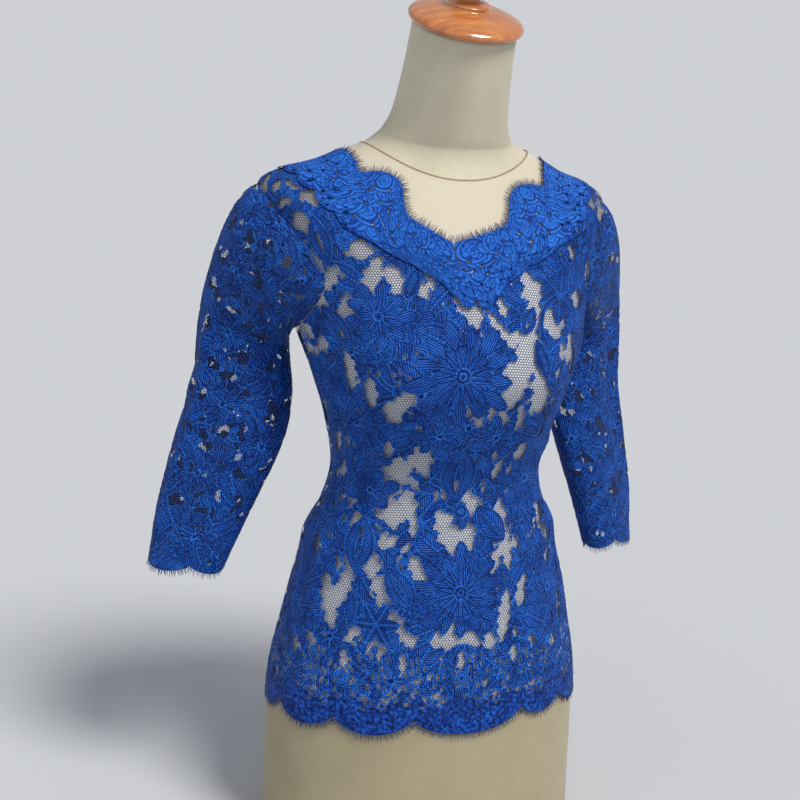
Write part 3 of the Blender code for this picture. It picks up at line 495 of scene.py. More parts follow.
def flat_torso(height, angle):
    i = (height - FLAT_HEIGHTS[0]) / (FLAT_HEIGHTS[1] - FLAT_HEIGHTS[0])
    j = (angle - FLAT_ANGLES[0]) / (FLAT_ANGLES[1] - FLAT_ANGLES[0])
    return looked_up(FLAT_U, i, j), looked_up(FLAT_V, i, j)



# Shapes of the lace: each returns how deep a point lies inside it, its distance to the nearest
# cord and its ribs in turns, for x across and y along the shape, all in millimetres
def bloom(x, y, size, petals):
    """A layered flower: long outer petals, shorter inner ones between them and a ringed heart."""
    r = np.hypot(x, y)
    beat = np.arctan2(x, y) * petals / FULL_TURN
    sway = 1 + 0.10 * np.sin(2.4 * np.round(beat) + petals)
    off = beat - np.round(beat)
    turn = FULL_TURN / petals
    gap_line = r * np.sin((0.5 - np.abs(off)) * turn)
    rim = size * sway * (1 - 0.50 * np.abs(2 * off) ** 1.8)
    depth = (rim - r) * 0.8
    slit = gap_line - 0.2 - 2.0 * np.clip(r / size - 0.5, 0, 1)
    depth = np.where(r > 0.5 * size, np.minimum(depth, slit), depth)
    inner = beat + 0.5 - np.round(beat + 0.5)
    inner_rim = size * 0.62 * (1 - 0.35 * np.abs(2 * inner) ** 1.6)
    heart = size * 0.13
    cord = np.minimum(np.abs(depth), np.abs(inner_rim - r))
    between = np.where(r < inner_rim, r * np.sin((0.5 - np.abs(inner)) * turn), gap_line)
    cord = np.where(r > heart, np.minimum(cord, between), np.abs(r - heart))
    cord = np.minimum(cord, np.abs(r - heart))
    spokes = np.where(r < inner_rim, inner, off) * turn * r
    rib = np.where(r > heart, spokes / 2.3 + r / 9, r / 4.0)
    return depth, cord, rib


def leaf(x, y, size, width, vein=0.0, bend=0.0):
    x = x - bend * (y / size) ** 2 * size
    t = np.clip(y / size + 0.5, 0, 1)
    half = width * np.sin(math.pi * t) ** 0.8 * (1.15 - 0.3 * t)
    depth = (half - np.abs(x)) * 0.85 - 2 * (np.abs(y) > size / 2)
    slit = vein * np.sin(math.pi * np.clip((t - 0.15) / 0.7, 0, 1))
    open_vein = np.abs(x) - slit
    depth = np.where(slit > 0.3, np.minimum(depth, open_vein), depth)
    cord = np.minimum(np.abs(depth), np.abs(x) + (vein > 0) * 9)
    rib = (np.abs(x) * 0.9 - y * 0.7) / 2.4
    return depth, cord, rib


def ring(x, y, size, hole=0.0):
    r = np.hypot(x, y)
    depth = np.minimum(size - r, r - hole)
    cord = np.minimum(np.abs(depth), np.abs(r - (size + hole) / 2) + 9 * (size - hole < 6))
    return depth, cord, r / 2.1


def arc(x, y, size, width, sweep=1.0):
    r = np.hypot(x - size, y)
    phi = np.arctan2(y, size - x)
    depth = np.minimum(width / 2 - np.abs(r - size), (sweep - np.abs(phi)) * size)
    return depth, np.abs(depth), phi * size / 2.2


def star(x, y, size, points):
    """A small flower with pointed open petals."""
    r = np.hypot(x, y)
    beat = np.arctan2(x, y) * points / FULL_TURN
    off = np.abs(beat - np.round(beat)) * FULL_TURN / points
    beside = r * np.sin(off)
    t = np.clip(r / size, 0, 1)
    half = size * 0.26 * np.sin(math.pi * np.clip(t, 0.12, 1)) ** 0.7
    depth = np.maximum((half - beside) * 0.85, size * 0.2 - r) - 2 * (r > size)
    return depth, np.minimum(np.abs(depth), beside), r / 2.2


def window(x, y, size, width):
    """An opening with a lobed rim, as between petals."""
    t = np.clip(y / size + 0.5, 0, 1)
    lobes = 1 + 0.26 * np.sin(y * FULL_TURN / (7 + 0.6 * width) + 2 * np.sign(x))
    lobes = lobes + 0.14 * np.sin(y * 1.7 + size * np.sign(x))
    half = width * np.sin(math.pi * t) ** 0.6 * lobes
    return (half - np.abs(x)) * 0.85 - 2 * (np.abs(y) > size / 2), 0 * x, 0 * x


Motif = namedtuple("Motif", "shape u v turn sizes")


class Lace:
    """A grid of cloth points with lace drawn on it in flat millimetres."""

    def __init__(self, points, normals, u, v, ground=9.0):
        self.points = points
        self.normals = normals
        self.u = u
        self.v = v
        self.inside = np.full(u.shape, ground)
        self.cord = np.full(u.shape, 9.0)
        self.rib = u / 2.4

    def drawn(self, motif):
        sizes = motif.sizes
        reach = sizes[0] * (2.1 if motif.shape is arc else 1.1) + 3
        near = (np.abs(self.u - motif.u) < reach) & (np.abs(self.v - motif.v) < reach)
        turn = math.radians(motif.turn)
        x, y = self.u[near] - motif.u, self.v[near] - motif.v
        across = x * math.cos(turn) - y * math.sin(turn)
        along = x * math.sin(turn) + y * math.cos(turn)
        return near, motif.shape(across, along, *sizes)

    def stamp(self, motif):
        """Lay a motif over what is there."""
        near, (depth, cord, rib) = self.drawn(motif)
        self.inside[near] = np.maximum(self.inside[near], depth)
        over = depth > 0
        beside = np.abs(depth) < np.abs(self.cord[near])
        self.cord[near] = np.where(over, cord, np.where(beside, np.abs(depth), self.cord[near]))
        self.rib[near] = np.where(over, rib, self.rib[near])

    def punch(self, motif):
        """Open the ground through what is there."""
        near, (depth, _, _) = self.drawn(motif)
        self.inside[near] = np.minimum(self.inside[near], -depth)
        self.cord[near] = np.minimum(self.cord[near], np.abs(depth))

    def fill(self, depth):
        self.inside = np.maximum(self.inside, depth)

    def surface(self, lift):
        """Points lifted off the cloth, higher in the thread work's middle and on its cords."""
        dome = 0.35 * (1 - np.exp(-np.maximum(self.inside, 0) / 2.5))
        raised = 0.45 * soft_bump(self.cord, 1.1)
        return self.points + self.normals * (lift + (dome + raised)[..., None] * MM)

    def piece(self, name, lift, material):
        """The thread work as one mesh, its outlines drawn in to where the shapes end."""
        points = self.surface(lift)
        inside = self.inside
        corner_sum = inside[:-1, :-1] + inside[1:, :-1] + inside[1:, 1:] + inside[:-1, 1:]
        kept = corner_sum > 0
        touched = np.zeros(inside.shape, int)
        for i in (0, 1):
            for j in (0, 1):
                rows = slice(i, inside.shape[0] - 1 + i)
                columns = slice(j, inside.shape[1] - 1 + j)
                touched[rows, columns] += kept
        slope_i, slope_j = np.gradient(np.clip(inside, -3, 3))
        steep = np.maximum(slope_i ** 2 + slope_j ** 2, 0.05)
        border = (touched > 0) & (touched < 4)
        border[[0, -1]] = False
        border[:, [0, -1]] = False
        move_i = np.where(border, np.clip(-inside * slope_i / steep, -0.55, 0.55), 0)[..., None]
        move_j = np.where(border, np.clip(-inside * slope_j / steep, -0.55, 0.55), 0)[..., None]
        along_i = np.gradient(points, axis=0)
        along_j = np.gradient(points, axis=1)
        points = points + move_i * along_i + move_j * along_j
        number = np.arange(inside.size).reshape(inside.shape)
        quads = np.stack((number[:-1, :-1], number[1:, :-1], number[1:, 1:], number[:-1, 1:]), -1)
        # Cord distance zero along the cut edges, so the painted cord highlight or painted shadow line
        # runs round every shape.
        cord = np.where(border, 0.0, self.cord)
        flat = np.stack((self.u, self.v), -1) * MM
        thread = np.stack((self.rib, np.clip(cord, 0, 9)), -1)
        return sheet_piece(name, points, quads[kept], material, {"flat": flat, "thread": thread})

    def grid_place(self, u, v):
        """Where flat coordinates lie in the grid, by steps along its own slopes, and how far off."""
        rows, columns = self.u.shape
        share_u = (u - self.u.min()) / np.ptp(self.u)
        share_v = (v - self.v.min()) / np.ptp(self.v)
        i = (share_u if self.u[-1].mean() > self.u[0].mean() else 1 - share_u) * (rows - 1)
        j = (share_v if self.v[:, -1].mean() > self.v[:, 0].mean() else 1 - share_v) * (columns - 1)
        slopes = (*np.gradient(self.u), *np.gradient(self.v))
        for _ in range(GRID_STEPS):
            i, j = np.clip(i, 0, rows - 1), np.clip(j, 0, columns - 1)
            u_i, u_j, v_i, v_j = (looked_up(slope, i, j) for slope in slopes)
            miss_u, miss_v = u - looked_up(self.u, i, j), v - looked_up(self.v, i, j)
            turned = u_i * v_j - u_j * v_i
            turned = np.where(np.abs(turned) < 0.05, 0.05, turned)
            i = i + (miss_u * v_j - miss_v * u_j) / turned
            j = j + (miss_v * u_i - miss_u * v_i) / turned
        i, j = np.clip(i, 0, rows - 1), np.clip(j, 0, columns - 1)
        return i, j, np.hypot(u - looked_up(self.u, i, j), v - looked_up(self.v, i, j))

    def net(self, name, lift, pitch, width, material):
        """The ground's hexagon net as flat threads, wherever no thread work covers it."""
        side = pitch / math.sqrt(3)
        across = np.arange(self.u.min(), self.u.max(), pitch)
        up = np.arange(self.v.min(), self.v.max(), 1.5 * side)
        low_u, low_v = np.meshgrid(across, up, indexing="ij")
        low_u = low_u + 0.5 * pitch * (np.arange(len(up)) % 2)
        ends = [(low_u, low_v, low_u, low_v + side)]
        for sign in (-0.5, 0.5):
            ends.append((low_u, low_v + side, low_u + sign * pitch, low_v + 1.5 * side))
        start_u, start_v, end_u, end_v = (
            np.concatenate([edge[k].ravel() for edge in ends]) for k in range(4))
        start_i, start_j, start_miss = self.grid_place(start_u, start_v)
        end_i, end_j, end_miss = self.grid_place(end_u, end_v)
        middle = looked_up(self.inside, (start_i + end_i) / 2, (start_j + end_j) / 2)
        shown = (np.maximum(start_miss, end_miss) < 0.2) & (middle < 0.9)
        start_i, start_j, end_i, end_j = (k[shown] for k in (start_i, start_j, end_i, end_j))
        lifted = self.points + self.normals * lift
        start, end = looked_up(lifted, start_i, start_j), looked_up(lifted, end_i, end_j)
        normal = looked_up(self.normals, start_i, start_j)
        beside = unit(np.cross(normal, end - start)) * width / 2
        corners = np.stack((start - beside, end - beside, end + beside, start + beside), 1)
        quads = np.arange(len(corners) * 4).reshape(-1, 4)
        return sheet_piece(name, corners.reshape(-1, 3), quads, material, {})


def sheet_piece(name, points, quads, material, layers):
    """A mesh object of quads, keeping only the points that they use."""
    flat_points = points.reshape(-1, 3)
    used, numbered = np.unique(quads, return_inverse=True)
    numbered = numbered.reshape(quads.shape)
    mesh = bpy.data.meshes.new(name)
    mesh.vertices.add(len(used))
    mesh.vertices.foreach_set("co", flat_points[used].astype(np.float32).ravel())
    mesh.loops.add(numbered.size)
    mesh.loops.foreach_set("vertex_index", numbered.astype(np.int32).ravel())
    mesh.polygons.add(len(numbered))
    starts = np.arange(0, numbered.size, quads.shape[1], dtype=np.int32)
    mesh.polygons.foreach_set("loop_start", starts)
    for layer, values in layers.items():
        uv = mesh.uv_layers.new(name=layer)
        spread = values.reshape(-1, 2)[used][numbered.ravel()]
        uv.data.foreach_set("uv", spread.astype(np.float32).ravel())
    mesh.update(calc_edges=True)
    mesh.validate()
    mesh.shade_smooth()
    mesh.materials.append(material)
    thing = bpy.data.objects.new(name, mesh)
    bpy.context.scene.collection.objects.link(thing)
    return thing


def grid_quads(rows, columns, closed=False):
    """Faces of a grid of points, the last row joined to the first where it is closed."""
    number = np.arange(rows * columns).reshape(rows, columns)
    if closed:
        number = np.vstack((number, number[:1]))
    return np.stack((number[:-1, :-1], number[1:, :-1], number[1:, 1:], number[:-1, 1:]),
                    -1).reshape(-1, 4)


# Materials
def nodes_of(name):
    material = bpy.data.materials.new(name)
    material.use_nodes = True
    tree = material.node_tree
    return material, tree, tree.nodes["Principled BSDF"]


def add(tree, kind, **values):
    node = tree.nodes.new(kind)
    for key, value in values.items():
        if key.startswith("in_"):
            node.inputs[key[3:].replace("_", " ")].default_value = value
        else:
            setattr(node, key, value)
    return node


def ramp(tree, source, stops):
    node = add(tree, "ShaderNodeValToRGB")
    tree.links.new(source, node.inputs["Fac"])
    while len(node.color_ramp.elements) < len(stops):
        node.color_ramp.elements.new(0.5)
    for element, (place, colour) in zip(node.color_ramp.elements, stops):
        element.position = place
        element.color = (*colour, 1.0) if len(colour) == 3 else colour
    return node.outputs["Color"]


def maths(tree, operation, *sources):
    node = add(tree, "ShaderNodeMath", operation=operation)
    for socket, source in zip(node.inputs, sources):
        if isinstance(source, (int, float)):
            socket.default_value = source
        else:
            tree.links.new(source, socket)
    return node.outputs["Value"]


def mixed(tree, factor, first, second, blend="MIX"):
    node = add(tree, "ShaderNodeMix", data_type="RGBA", blend_type=blend)
    for socket, source in ((node.inputs[0], factor), (node.inputs[6], first), (node.inputs[7], second)):
        if isinstance(source, (int, float)):
            socket.default_value = source
        elif isinstance(source, tuple):
            socket.default_value = (*source, 1.0)
        else:
            tree.links.new(source, socket)
    return node.outputs[2]


def bumped(tree, principled, height, distance, strength=1.0):
    bump = add(tree, "ShaderNodeBump", in_Strength=strength, in_Distance=distance)
    tree.links.new(height, bump.inputs["Height"])
    tree.links.new(bump.outputs["Normal"], principled.inputs["Normal"])


def noise(tree, place, scale, detail=2.0, roughness=0.5):
    node = add(tree, "ShaderNodeTexNoise", in_Scale=scale, in_Detail=detail, in_Roughness=roughness)
    tree.links.new(place, node.inputs["Vector"])
    return node.outputs["Fac"]


# Grey levels by cord distance over 4 mm, painted light: on the lace a painted highlight on each cord
# with a painted shadow line beside it, on the border thin painted shadow lines along the cords.
CORD_HIGHLIGHT_AND_SHADOW = ((0.0, 0.95), (0.22, 0.88), (0.36, 0.14), (0.50, 0.20), (0.66, 0.55), (1.0, 0.55))
PAINTED_SHADOW_LINES = ((0.0, 0.22), (0.09, 0.30), (0.20, 0.80), (0.38, 0.88), (0.7, 0.66), (1.0, 0.6))


def lace_material(name, dark, body, light, outlines, rib_share):
    """Blue thread work: ribs of thread, painted darker in their valleys and lighter on their crests,
    outlines by their distance over 4 mm painted as highlights on the cords and shadow lines beside them,
    and a mottle.
    """
    material, tree, principled = nodes_of(name)
    flat = add(tree, "ShaderNodeUVMap", uv_map="flat").outputs["UV"]
    thread = add(tree, "ShaderNodeSeparateXYZ")
    tree.links.new(add(tree, "ShaderNodeUVMap", uv_map="thread").outputs["UV"], thread.inputs[0])
    rib, cord = thread.outputs["X"], thread.outputs["Y"]
    wobble = noise(tree, flat, 260.0, 2.0)
    phase = maths(tree, "ADD", rib, maths(tree, "MULTIPLY", wobble, 0.9))
    wave = maths(tree, "SINE", maths(tree, "MULTIPLY", phase, FULL_TURN))
    ribs = maths(tree, "MULTIPLY_ADD", wave, 0.5, 0.5)
    mottle = noise(tree, flat, 950.0, 3.0, 0.7)
    patch = noise(tree, flat, 46.0, 3.0)
    # raised: the painted highlight on each cord and the painted shadow line beside it, also used as bump
    # height.
    raised = ramp(tree, maths(tree, "DIVIDE", cord, 4.0),
                  tuple((place, (value,) * 3) for place, value in outlines))
    # Painted shade in the rib valleys and painted light on the rib crests, times the painted cord
    # highlights and shadow lines.
    painted_rib_shade = maths(tree, "MULTIPLY_ADD", ribs, rib_share, 1.05 - rib_share)
    painted_relief_shade = maths(tree, "MULTIPLY", painted_rib_shade, maths(tree, "ADD", raised, 0.28))
    mottled = ramp(tree, mottle, ((0.34, (0.25, 0.25, 0.25)), (0.62, (1.25, 1.25, 1.25))))
    level = maths(tree, "MULTIPLY", painted_relief_shade, mottled)
    level = maths(tree, "MULTIPLY", level, maths(tree, "MULTIPLY_ADD", patch, 1.5, 0.25))
    # The dark end carries the painted shadow lines and rib valleys, the light end the painted cord
    # highlights and rib crests, mixed with the mottle's own tone.
    colour = ramp(tree, level, ((0.13, dark), (0.45, body), (0.92, light)))
    tree.links.new(colour, principled.inputs["Base Color"])
    principled.inputs["Roughness"].default_value = 0.62
    principled.inputs["Specular IOR Level"].default_value = 0.14
    principled.inputs["Sheen Weight"].default_value = 0.03
    principled.inputs["Sheen Tint"].default_value = (0.2, 0.45, 1.0, 1.0)
    height = maths(tree, "ADD", maths(tree, "MULTIPLY", ribs, 0.5),
                   maths(tree, "ADD", raised, maths(tree, "MULTIPLY", mottle, 1.2)))
    bumped(tree, principled, height, 0.6 * MM)
    return material


def thread_material(name, colour, roughness=0.7):
    material, tree, principled = nodes_of(name)
    place = add(tree, "ShaderNodeTexCoord").outputs["Object"]
    shade = noise(tree, place, 700.0, 2.0)
    dark = tuple(0.45 * c for c in colour)
    tree.links.new(ramp(tree, shade, ((0.3, dark), (0.7, colour))), principled.inputs["Base Color"])
    principled.inputs["Roughness"].default_value = roughness
    principled.inputs["Sheen Weight"].default_value = 0.2
    return material


def knit_material():
    """Cream jersey: fine wales, faint stains, a soft matte surface, painted shade darker below the hem
    line and a painted bluish reflected light over the torso.
    """
    material, tree, principled = nodes_of("cream jersey")
    flat = add(tree, "ShaderNodeUVMap", uv_map="flat")
    parts = add(tree, "ShaderNodeSeparateXYZ")
    tree.links.new(flat.outputs["UV"], parts.inputs[0])
    wales = maths(tree, "SINE", maths(tree, "MULTIPLY", parts.outputs["X"], FULL_TURN / (1.3 * MM)))
    rows = maths(tree, "SINE", maths(tree, "MULTIPLY", parts.outputs["Y"], FULL_TURN / (1.1 * MM)))
    knit = maths(tree, "MULTIPLY", wales, rows)
    fleck = noise(tree, flat.outputs["UV"], 520.0, 3.0, 0.7)
    stain = noise(tree, flat.outputs["UV"], 7.0, 4.0, 0.6)
    tone = maths(tree, "ADD", maths(tree, "MULTIPLY", fleck, 0.45), maths(tree, "MULTIPLY", stain, 0.55))
    cream = ramp(tree, tone, ((0.30, (0.48, 0.43, 0.31)), (0.5, (0.60, 0.55, 0.41)),
                              (0.70, (0.69, 0.64, 0.50))))
    # Painted light by flat height: darker and yellower at and below the hem line as painted shade,
    # brighter and bluish over the torso as painted reflected light from the blue lace with a painted
    # highlight, unchanged at the neck.
    painted_shade_and_reflection = ramp(tree, parts.outputs["Y"], ((0.0, (0.60, 0.56, 0.47)), (0.02, (1.40, 1.52, 1.95)),
                                            (0.44, (1.40, 1.52, 1.95)), (0.52, (1.0, 1.0, 1.0))))
    colour = mixed(tree, 1.0, cream, painted_shade_and_reflection, "MULTIPLY")
    tree.links.new(colour, principled.inputs["Base Color"])
    principled.inputs["Roughness"].default_value = 0.9
    principled.inputs["Sheen Weight"].default_value = 0.15
    bumped(tree, principled, maths(tree, "ADD", knit, maths(tree, "MULTIPLY", fleck, 2.0)), 0.12 * MM)
    return material


def wood_material(name, dark, light, roughness, coat, scale):
    """Turned wood with rings of grain under varnish."""
    material, tree, principled = nodes_of(name)
    place = add(tree, "ShaderNodeTexCoord").outputs["Object"]
    stretch = add(tree, "ShaderNodeMapping", in_Scale=(1.0, 6.0, 1.0))
    tree.links.new(place, stretch.inputs["Vector"])
    grain = noise(tree, stretch.outputs["Vector"], scale, 6.0, 0.65)
    fine = noise(tree, stretch.outputs["Vector"], scale * 9, 3.0, 0.6)
    tone = maths(tree, "ADD", maths(tree, "MULTIPLY", grain, 0.7), maths(tree, "MULTIPLY", fine, 0.3))
    tree.links.new(ramp(tree, tone, ((0.35, dark), (0.65, light))), principled.inputs["Base Color"])
    principled.inputs["Roughness"].default_value = roughness
    principled.inputs["Coat Weight"].default_value = coat
    principled.inputs["Coat Roughness"].default_value = 0.12
    bumped(tree, principled, fine, 0.05 * MM)
    return material


def tulle_material():
    """Sheer nude tulle: mostly open, with a fine dotted net."""
    material, tree, principled = nodes_of("nude tulle")
    flat = add(tree, "ShaderNodeUVMap", uv_map="flat").outputs["UV"]
    dots = noise(tree, flat, 900.0, 1.0)
    tree.links.new(ramp(tree, dots, ((0.35, (0.70, 0.62, 0.48)), (0.65, (0.82, 0.75, 0.61)))),
                   principled.inputs["Base Color"])
    principled.inputs["Roughness"].default_value = 0.85
    principled.inputs["Alpha"].default_value = 0.60
    bumped(tree, principled, dots, 0.2 * MM)
    return material


def enamel_material():
    material, tree, principled = nodes_of("blue enamel")
    place = add(tree, "ShaderNodeTexCoord").outputs["Object"]
    wear = noise(tree, place, 900.0, 3.0)
    tree.links.new(ramp(tree, wear, ((0.35, (0.01, 0.05, 0.28)), (0.7, (0.03, 0.10, 0.42)))),
                   principled.inputs["Base Color"])
    principled.inputs["Metallic"].default_value = 0.6
    principled.inputs["Roughness"].default_value = 0.33
    return material


# The dark and light ends of these blues show the painted shadow lines and highlights of cords and ribs,
# as well as the mottle's own tone.
LACE_BLUE = lace_material("blue corded lace", (0.0008, 0.006, 0.055), (0.004, 0.050, 0.33),
                          (0.022, 0.170, 0.68), CORD_HIGHLIGHT_AND_SHADOW, 0.85)
BORDER_BLUE = lace_material("blue border lace", (0.001, 0.010, 0.085), (0.006, 0.066, 0.41),
                            (0.025, 0.175, 0.68), PAINTED_SHADOW_LINES, 0.3)
NET_BLUE = thread_material("blue net thread", (0.012, 0.040, 0.20))
LASH_BLUE = thread_material("blue lash thread", (0.003, 0.024, 0.18))
EDGE_BROWN = thread_material("brown neck binding", (0.42, 0.28, 0.16))
JERSEY = knit_material()
CAP_WOOD = wood_material("varnished cap wood", (0.36, 0.10, 0.020), (0.62, 0.24, 0.075), 0.22, 0.8, 30.0)
BOARD_WOOD = wood_material("plain base board", (0.22, 0.13, 0.07), (0.42, 0.28, 0.16), 0.55, 0.1, 14.0)
NUDE_TULLE = tulle_material()
TAPE_BLUE = thread_material("blue zip tape", (0.010, 0.045, 0.28))
ENAMEL = enamel_material()


# Layout of the front's lace: across from centre front and up from the hem line
FRONT_MOTIFS = (
    Motif(bloom, -96, 408, 12, (35, 9)),
    Motif(leaf, -140, 392, -38, (52, 13, 2.6)),
    Motif(leaf, -128, 446, -64, (46, 11, 0.0)),
    Motif(leaf, -62, 438, 24, (34, 8, 1.8)),
    Motif(bloom, -20, 348, 180, (52, 13)),
    Motif(leaf, -72, 352, -48, (44, 12, 0.0)),
    Motif(leaf, 40, 356, 62, (42, 12, 0.0)),
    Motif(star, 92, 430, 10, (30, 6)),
    Motif(leaf, 120, 452, 38, (54, 14, 3.0)),
    Motif(leaf, 124, 402, 118, (46, 12, 2.4)),
    Motif(leaf, 88, 384, 64, (44, 13, 0.0, 0.3)),
    Motif(arc, 66, 408, 20, (34, 5, 0.9)),
    Motif(leaf, 62, 366, -16, (40, 8, 1.8)),
    Motif(leaf, 50, 402, 28, (32, 8, 1.6)),
    Motif(bloom, -34, 288, 15, (24, 7)),
    Motif(bloom, 22, 284, -10, (25, 7)),
    Motif(leaf, -68, 286, 68, (40, 12, 0.0)),
    Motif(leaf, 58, 288, 108, (42, 12, 0.0)),
    Motif(leaf, -8, 240, 180, (62, 17, 3.4)),
    Motif(leaf, -42, 246, 208, (50, 12, 0.0, 0.2)),
    Motif(leaf, 30, 244, 152, (50, 12, 0.0, -0.2)),
    Motif(bloom, 72, 232, 0, (36, 8)),
    Motif(ring, -2, 202, 0, (7, 2.4)),
    Motif(bloom, -90, 224, 18, (27, 6)),
    Motif(leaf, -128, 262, -24, (56, 15, 0.0)),
    Motif(leaf, -120, 316, 30, (50, 13, 0.0)),
    Motif(leaf, 108, 318, -22, (52, 13, 2.4)),
    Motif(leaf, 108, 268, 24, (44, 12, 0.0)),
    Motif(leaf, -58, 182, 52, (46, 13, 0.0)),
    Motif(leaf, 30, 188, -40, (48, 13, 2.0)),
    Motif(bloom, -2, 122, 0, (47, 14)),
    Motif(leaf, -62, 128, -30, (50, 13, 2.6)),
    Motif(leaf, 62, 132, 34, (46, 12, 0.0)),
    Motif(leaf, -100, 170, 14, (56, 15, 3.2)),
    Motif(leaf, 84, 176, -24, (50, 13, 0.0)),
    Motif(leaf, -118, 112, -12, (54, 14, 0.0)),
    Motif(star, -84, 92, 30, (24, 6)),
    Motif(bloom, 108, 112, 22, (34, 9)),
    Motif(leaf, 150, 150, 16, (58, 14, 2.6)),
    Motif(leaf, -158, 152, 10, (58, 14, 0.0)),
    Motif(bloom, -172, 96, 0, (30, 8)),
    Motif(bloom, 176, 92, 10, (30, 8)),
    Motif(leaf, 52, 84, -70, (36, 10, 0.0)),
    Motif(leaf, -44, 82, 70, (36, 10, 0.0)),
    Motif(bloom, -150, 214, 0, (24, 7)),
    Motif(bloom, 140, 208, 0, (26, 7)),
    Motif(bloom, -168, 330, 0, (32, 8)),
    Motif(bloom, 164, 340, 20, (32, 8)),
    Motif(leaf, -152, 478, -20, (50, 12, 2.0)),
    Motif(leaf, 152, 498, 24, (50, 12, 2.0)),
    Motif(leaf, -178, 404, -16, (48, 12, 0.0)),
    Motif(leaf, 176, 404, 20, (48, 12, 0.0)),
)

# Open net patches of the front: across, up, lean in degrees, length and half width
FRONT_WINDOWS = (
    (-100, 442, 20, 48, 7), (-75, 440, -25, 36, 6), (-129, 400, 10, 52, 6), (-141, 441, 30, 28, 5),
    (-109, 473, 0, 18, 8), (61, 423, -20, 52, 9), (87, 407, 20, 40, 8), (47, 375, 15, 52, 8),
    (36, 347, 20, 60, 8), (60, 335, -10, 40, 7), (120, 424, -15, 32, 6), (-70, 331, 25, 28, 6),
    (-81, 315, -30, 24, 6), (-10, 317, 10, 16, 4), (-106, 332, -10, 28, 5), (-130, 349, 0, 32, 5),
    (-37, 288, 30, 20, 6), (14, 281, -15, 24, 5), (-48, 266, 20, 28, 7), (-65, 238, 15, 40, 7),
    (-53, 210, -10, 28, 6), (-14, 225, 35, 20, 5), (-16, 184, -20, 40, 7), (-76, 202, 60, 16, 6),
    (8, 212, -30, 24, 5), (42, 198, -10, 28, 5), (48, 165, -8, 44, 5), (35, 151, 20, 24, 4),
    (-99, 188, -45, 24, 6), (-133, 108, -8, 48, 6), (-116, 127, 20, 44, 5), (-77, 126, -35, 28, 7),
    (-88, 149, 10, 24, 5), (-44, 146, -25, 28, 5), (-65, 95, -30, 24, 5), (46, 95, 8, 48, 5),
    (66, 117, 10, 28, 4), (9, 74, 10, 18, 7), (-9, 74, -20, 16, 6), (-24, 77, 20, 16, 5),
    (30, 72, 0, 16, 5), (-52, 77, -25, 16, 5), (109, 139, 5, 24, 4), (134, 90, 8, 28, 3),
    (-150, 157, 10, 24, 4), (-143, 269, 0, 24, 4), (55, 267, 20, 20, 5), (115, 361, -10, 28, 5),
    (84, 487, 20, 18, 6), (145, 452, 0, 24, 4), (-175, 495, 0, 16, 7), (-155, 477, 30, 18, 5),
    (-110, 69, -30, 16, 4), (-88, 76, 30, 16, 4), (79, 63, 10, 14, 4), (114, 64, 10, 14, 4),
    (-153, 65, -10, 20, 4),
)

# Repeat of the lace for the ground, the back and the sleeves
REPEAT_ACROSS, REPEAT_UP = 62, 74
REPEAT = (
    Motif(leaf, 30, 22, 40, (46, 13, 0.0)),
    Motif(leaf, -28, 24, -42, (46, 12, 0.0, 0.2)),
    Motif(leaf, 27, -24, 130, (44, 13, 0.0, -0.2)),
    Motif(leaf, -30, -20, -130, (46, 12, 0.0)),
    Motif(arc, 12, 30, 20, (13, 4, 1.5)),
    Motif(arc, -14, -34, 200, (11, 4, 1.6)),
    Motif(ring, 0, 37, 0, (9, 3)),
    Motif(bloom, 0, 0, 10, (26, 8)),
)
REPEAT_WINDOWS = (
    (-2, 29, 80, 26, 7), (22, 6, 10, 30, 7), (-21, 8, -16, 30, 8), (14, -33, 40, 28, 8),
    (-16, 46, 30, 24, 7), (-8, -24, -70, 24, 5), (33, 40, -10, 22, 7),
)
HEM_BAND = 66
PLAIN_RIB = 0.1
FAN_PITCH = 58
FAN_RINGS = ((17, 5), (27, 7), (37, 9), (47, 10), (56, 11))
NET_PITCH, NET_THREAD = 2.8, 0.60 * MM
GRID_STEPS = 14


def cells(lace, jitter):
    """Places of a half-drop repeat over the whole panel, swayed a little."""
    reach_u = int(np.abs(lace.u).max() / REPEAT_ACROSS) + 2
    reach_v = int(lace.v.max() / REPEAT_UP) + 2
    for column in range(-reach_u, reach_u + 1):
        for row in range(-1, reach_v):
            sway = jitter * math.sin(1.9 * column + 2.7 * row)
            yield (column * REPEAT_ACROSS + sway, (row + 0.5 * (column % 2)) * REPEAT_UP, sway)


def ground_lace(lace, wanted, opening=1.0):
    """Thread work all over: swirled leaves, blooms and rings, opened where wanted says so."""
    for u, v, sway in cells(lace, 8):
        for motif in REPEAT[:-1]:
            lace.stamp(motif._replace(u=motif.u + u, v=motif.v + v, turn=motif.turn + sway))
    for u, v, sway in cells(lace, 8):
        for k, (across, up, lean, size, width) in enumerate(REPEAT_WINDOWS):
            grown = 1 + 0.25 * math.sin(1.3 * k + u + 0.7 * v)
            if wanted(across + u, up + v):
                sizes = (size * grown * opening, width * grown * opening)
                lace.punch(Motif(window, across + u, up + v, lean + sway, sizes))
        bloomed = REPEAT[-1]
        lace.stamp(bloomed._replace(u=u, v=v, turn=bloomed.turn + sway))


def pinholes(lace, count, seed):
    """Small slits of the net that show all through the thread work."""
    rng = np.random.default_rng(seed)
    for _ in range(count):
        u = rng.uniform(lace.u.min(), lace.u.max())
        v = rng.uniform(2, lace.v.max())
        lace.punch(Motif(leaf, u, v, rng.uniform(-50, 50), (rng.uniform(6, 11), rng.uniform(1.3, 2.3))))


def scattered_windows(lace, count, seed):
    """Net patches between the listed ones, narrower towards the side seams."""
    rng = np.random.default_rng(seed)
    for _ in range(count):
        u, v = rng.uniform(-185, 185), rng.uniform(62, lace.v.max() - 6)
        size = rng.uniform(15, 30) * (1 - 0.35 * (abs(u) / 185) ** 2)
        sizes = (size, size * rng.uniform(0.17, 0.27))
        lace.punch(Motif(window, u, v, rng.uniform(-45, 45), sizes))


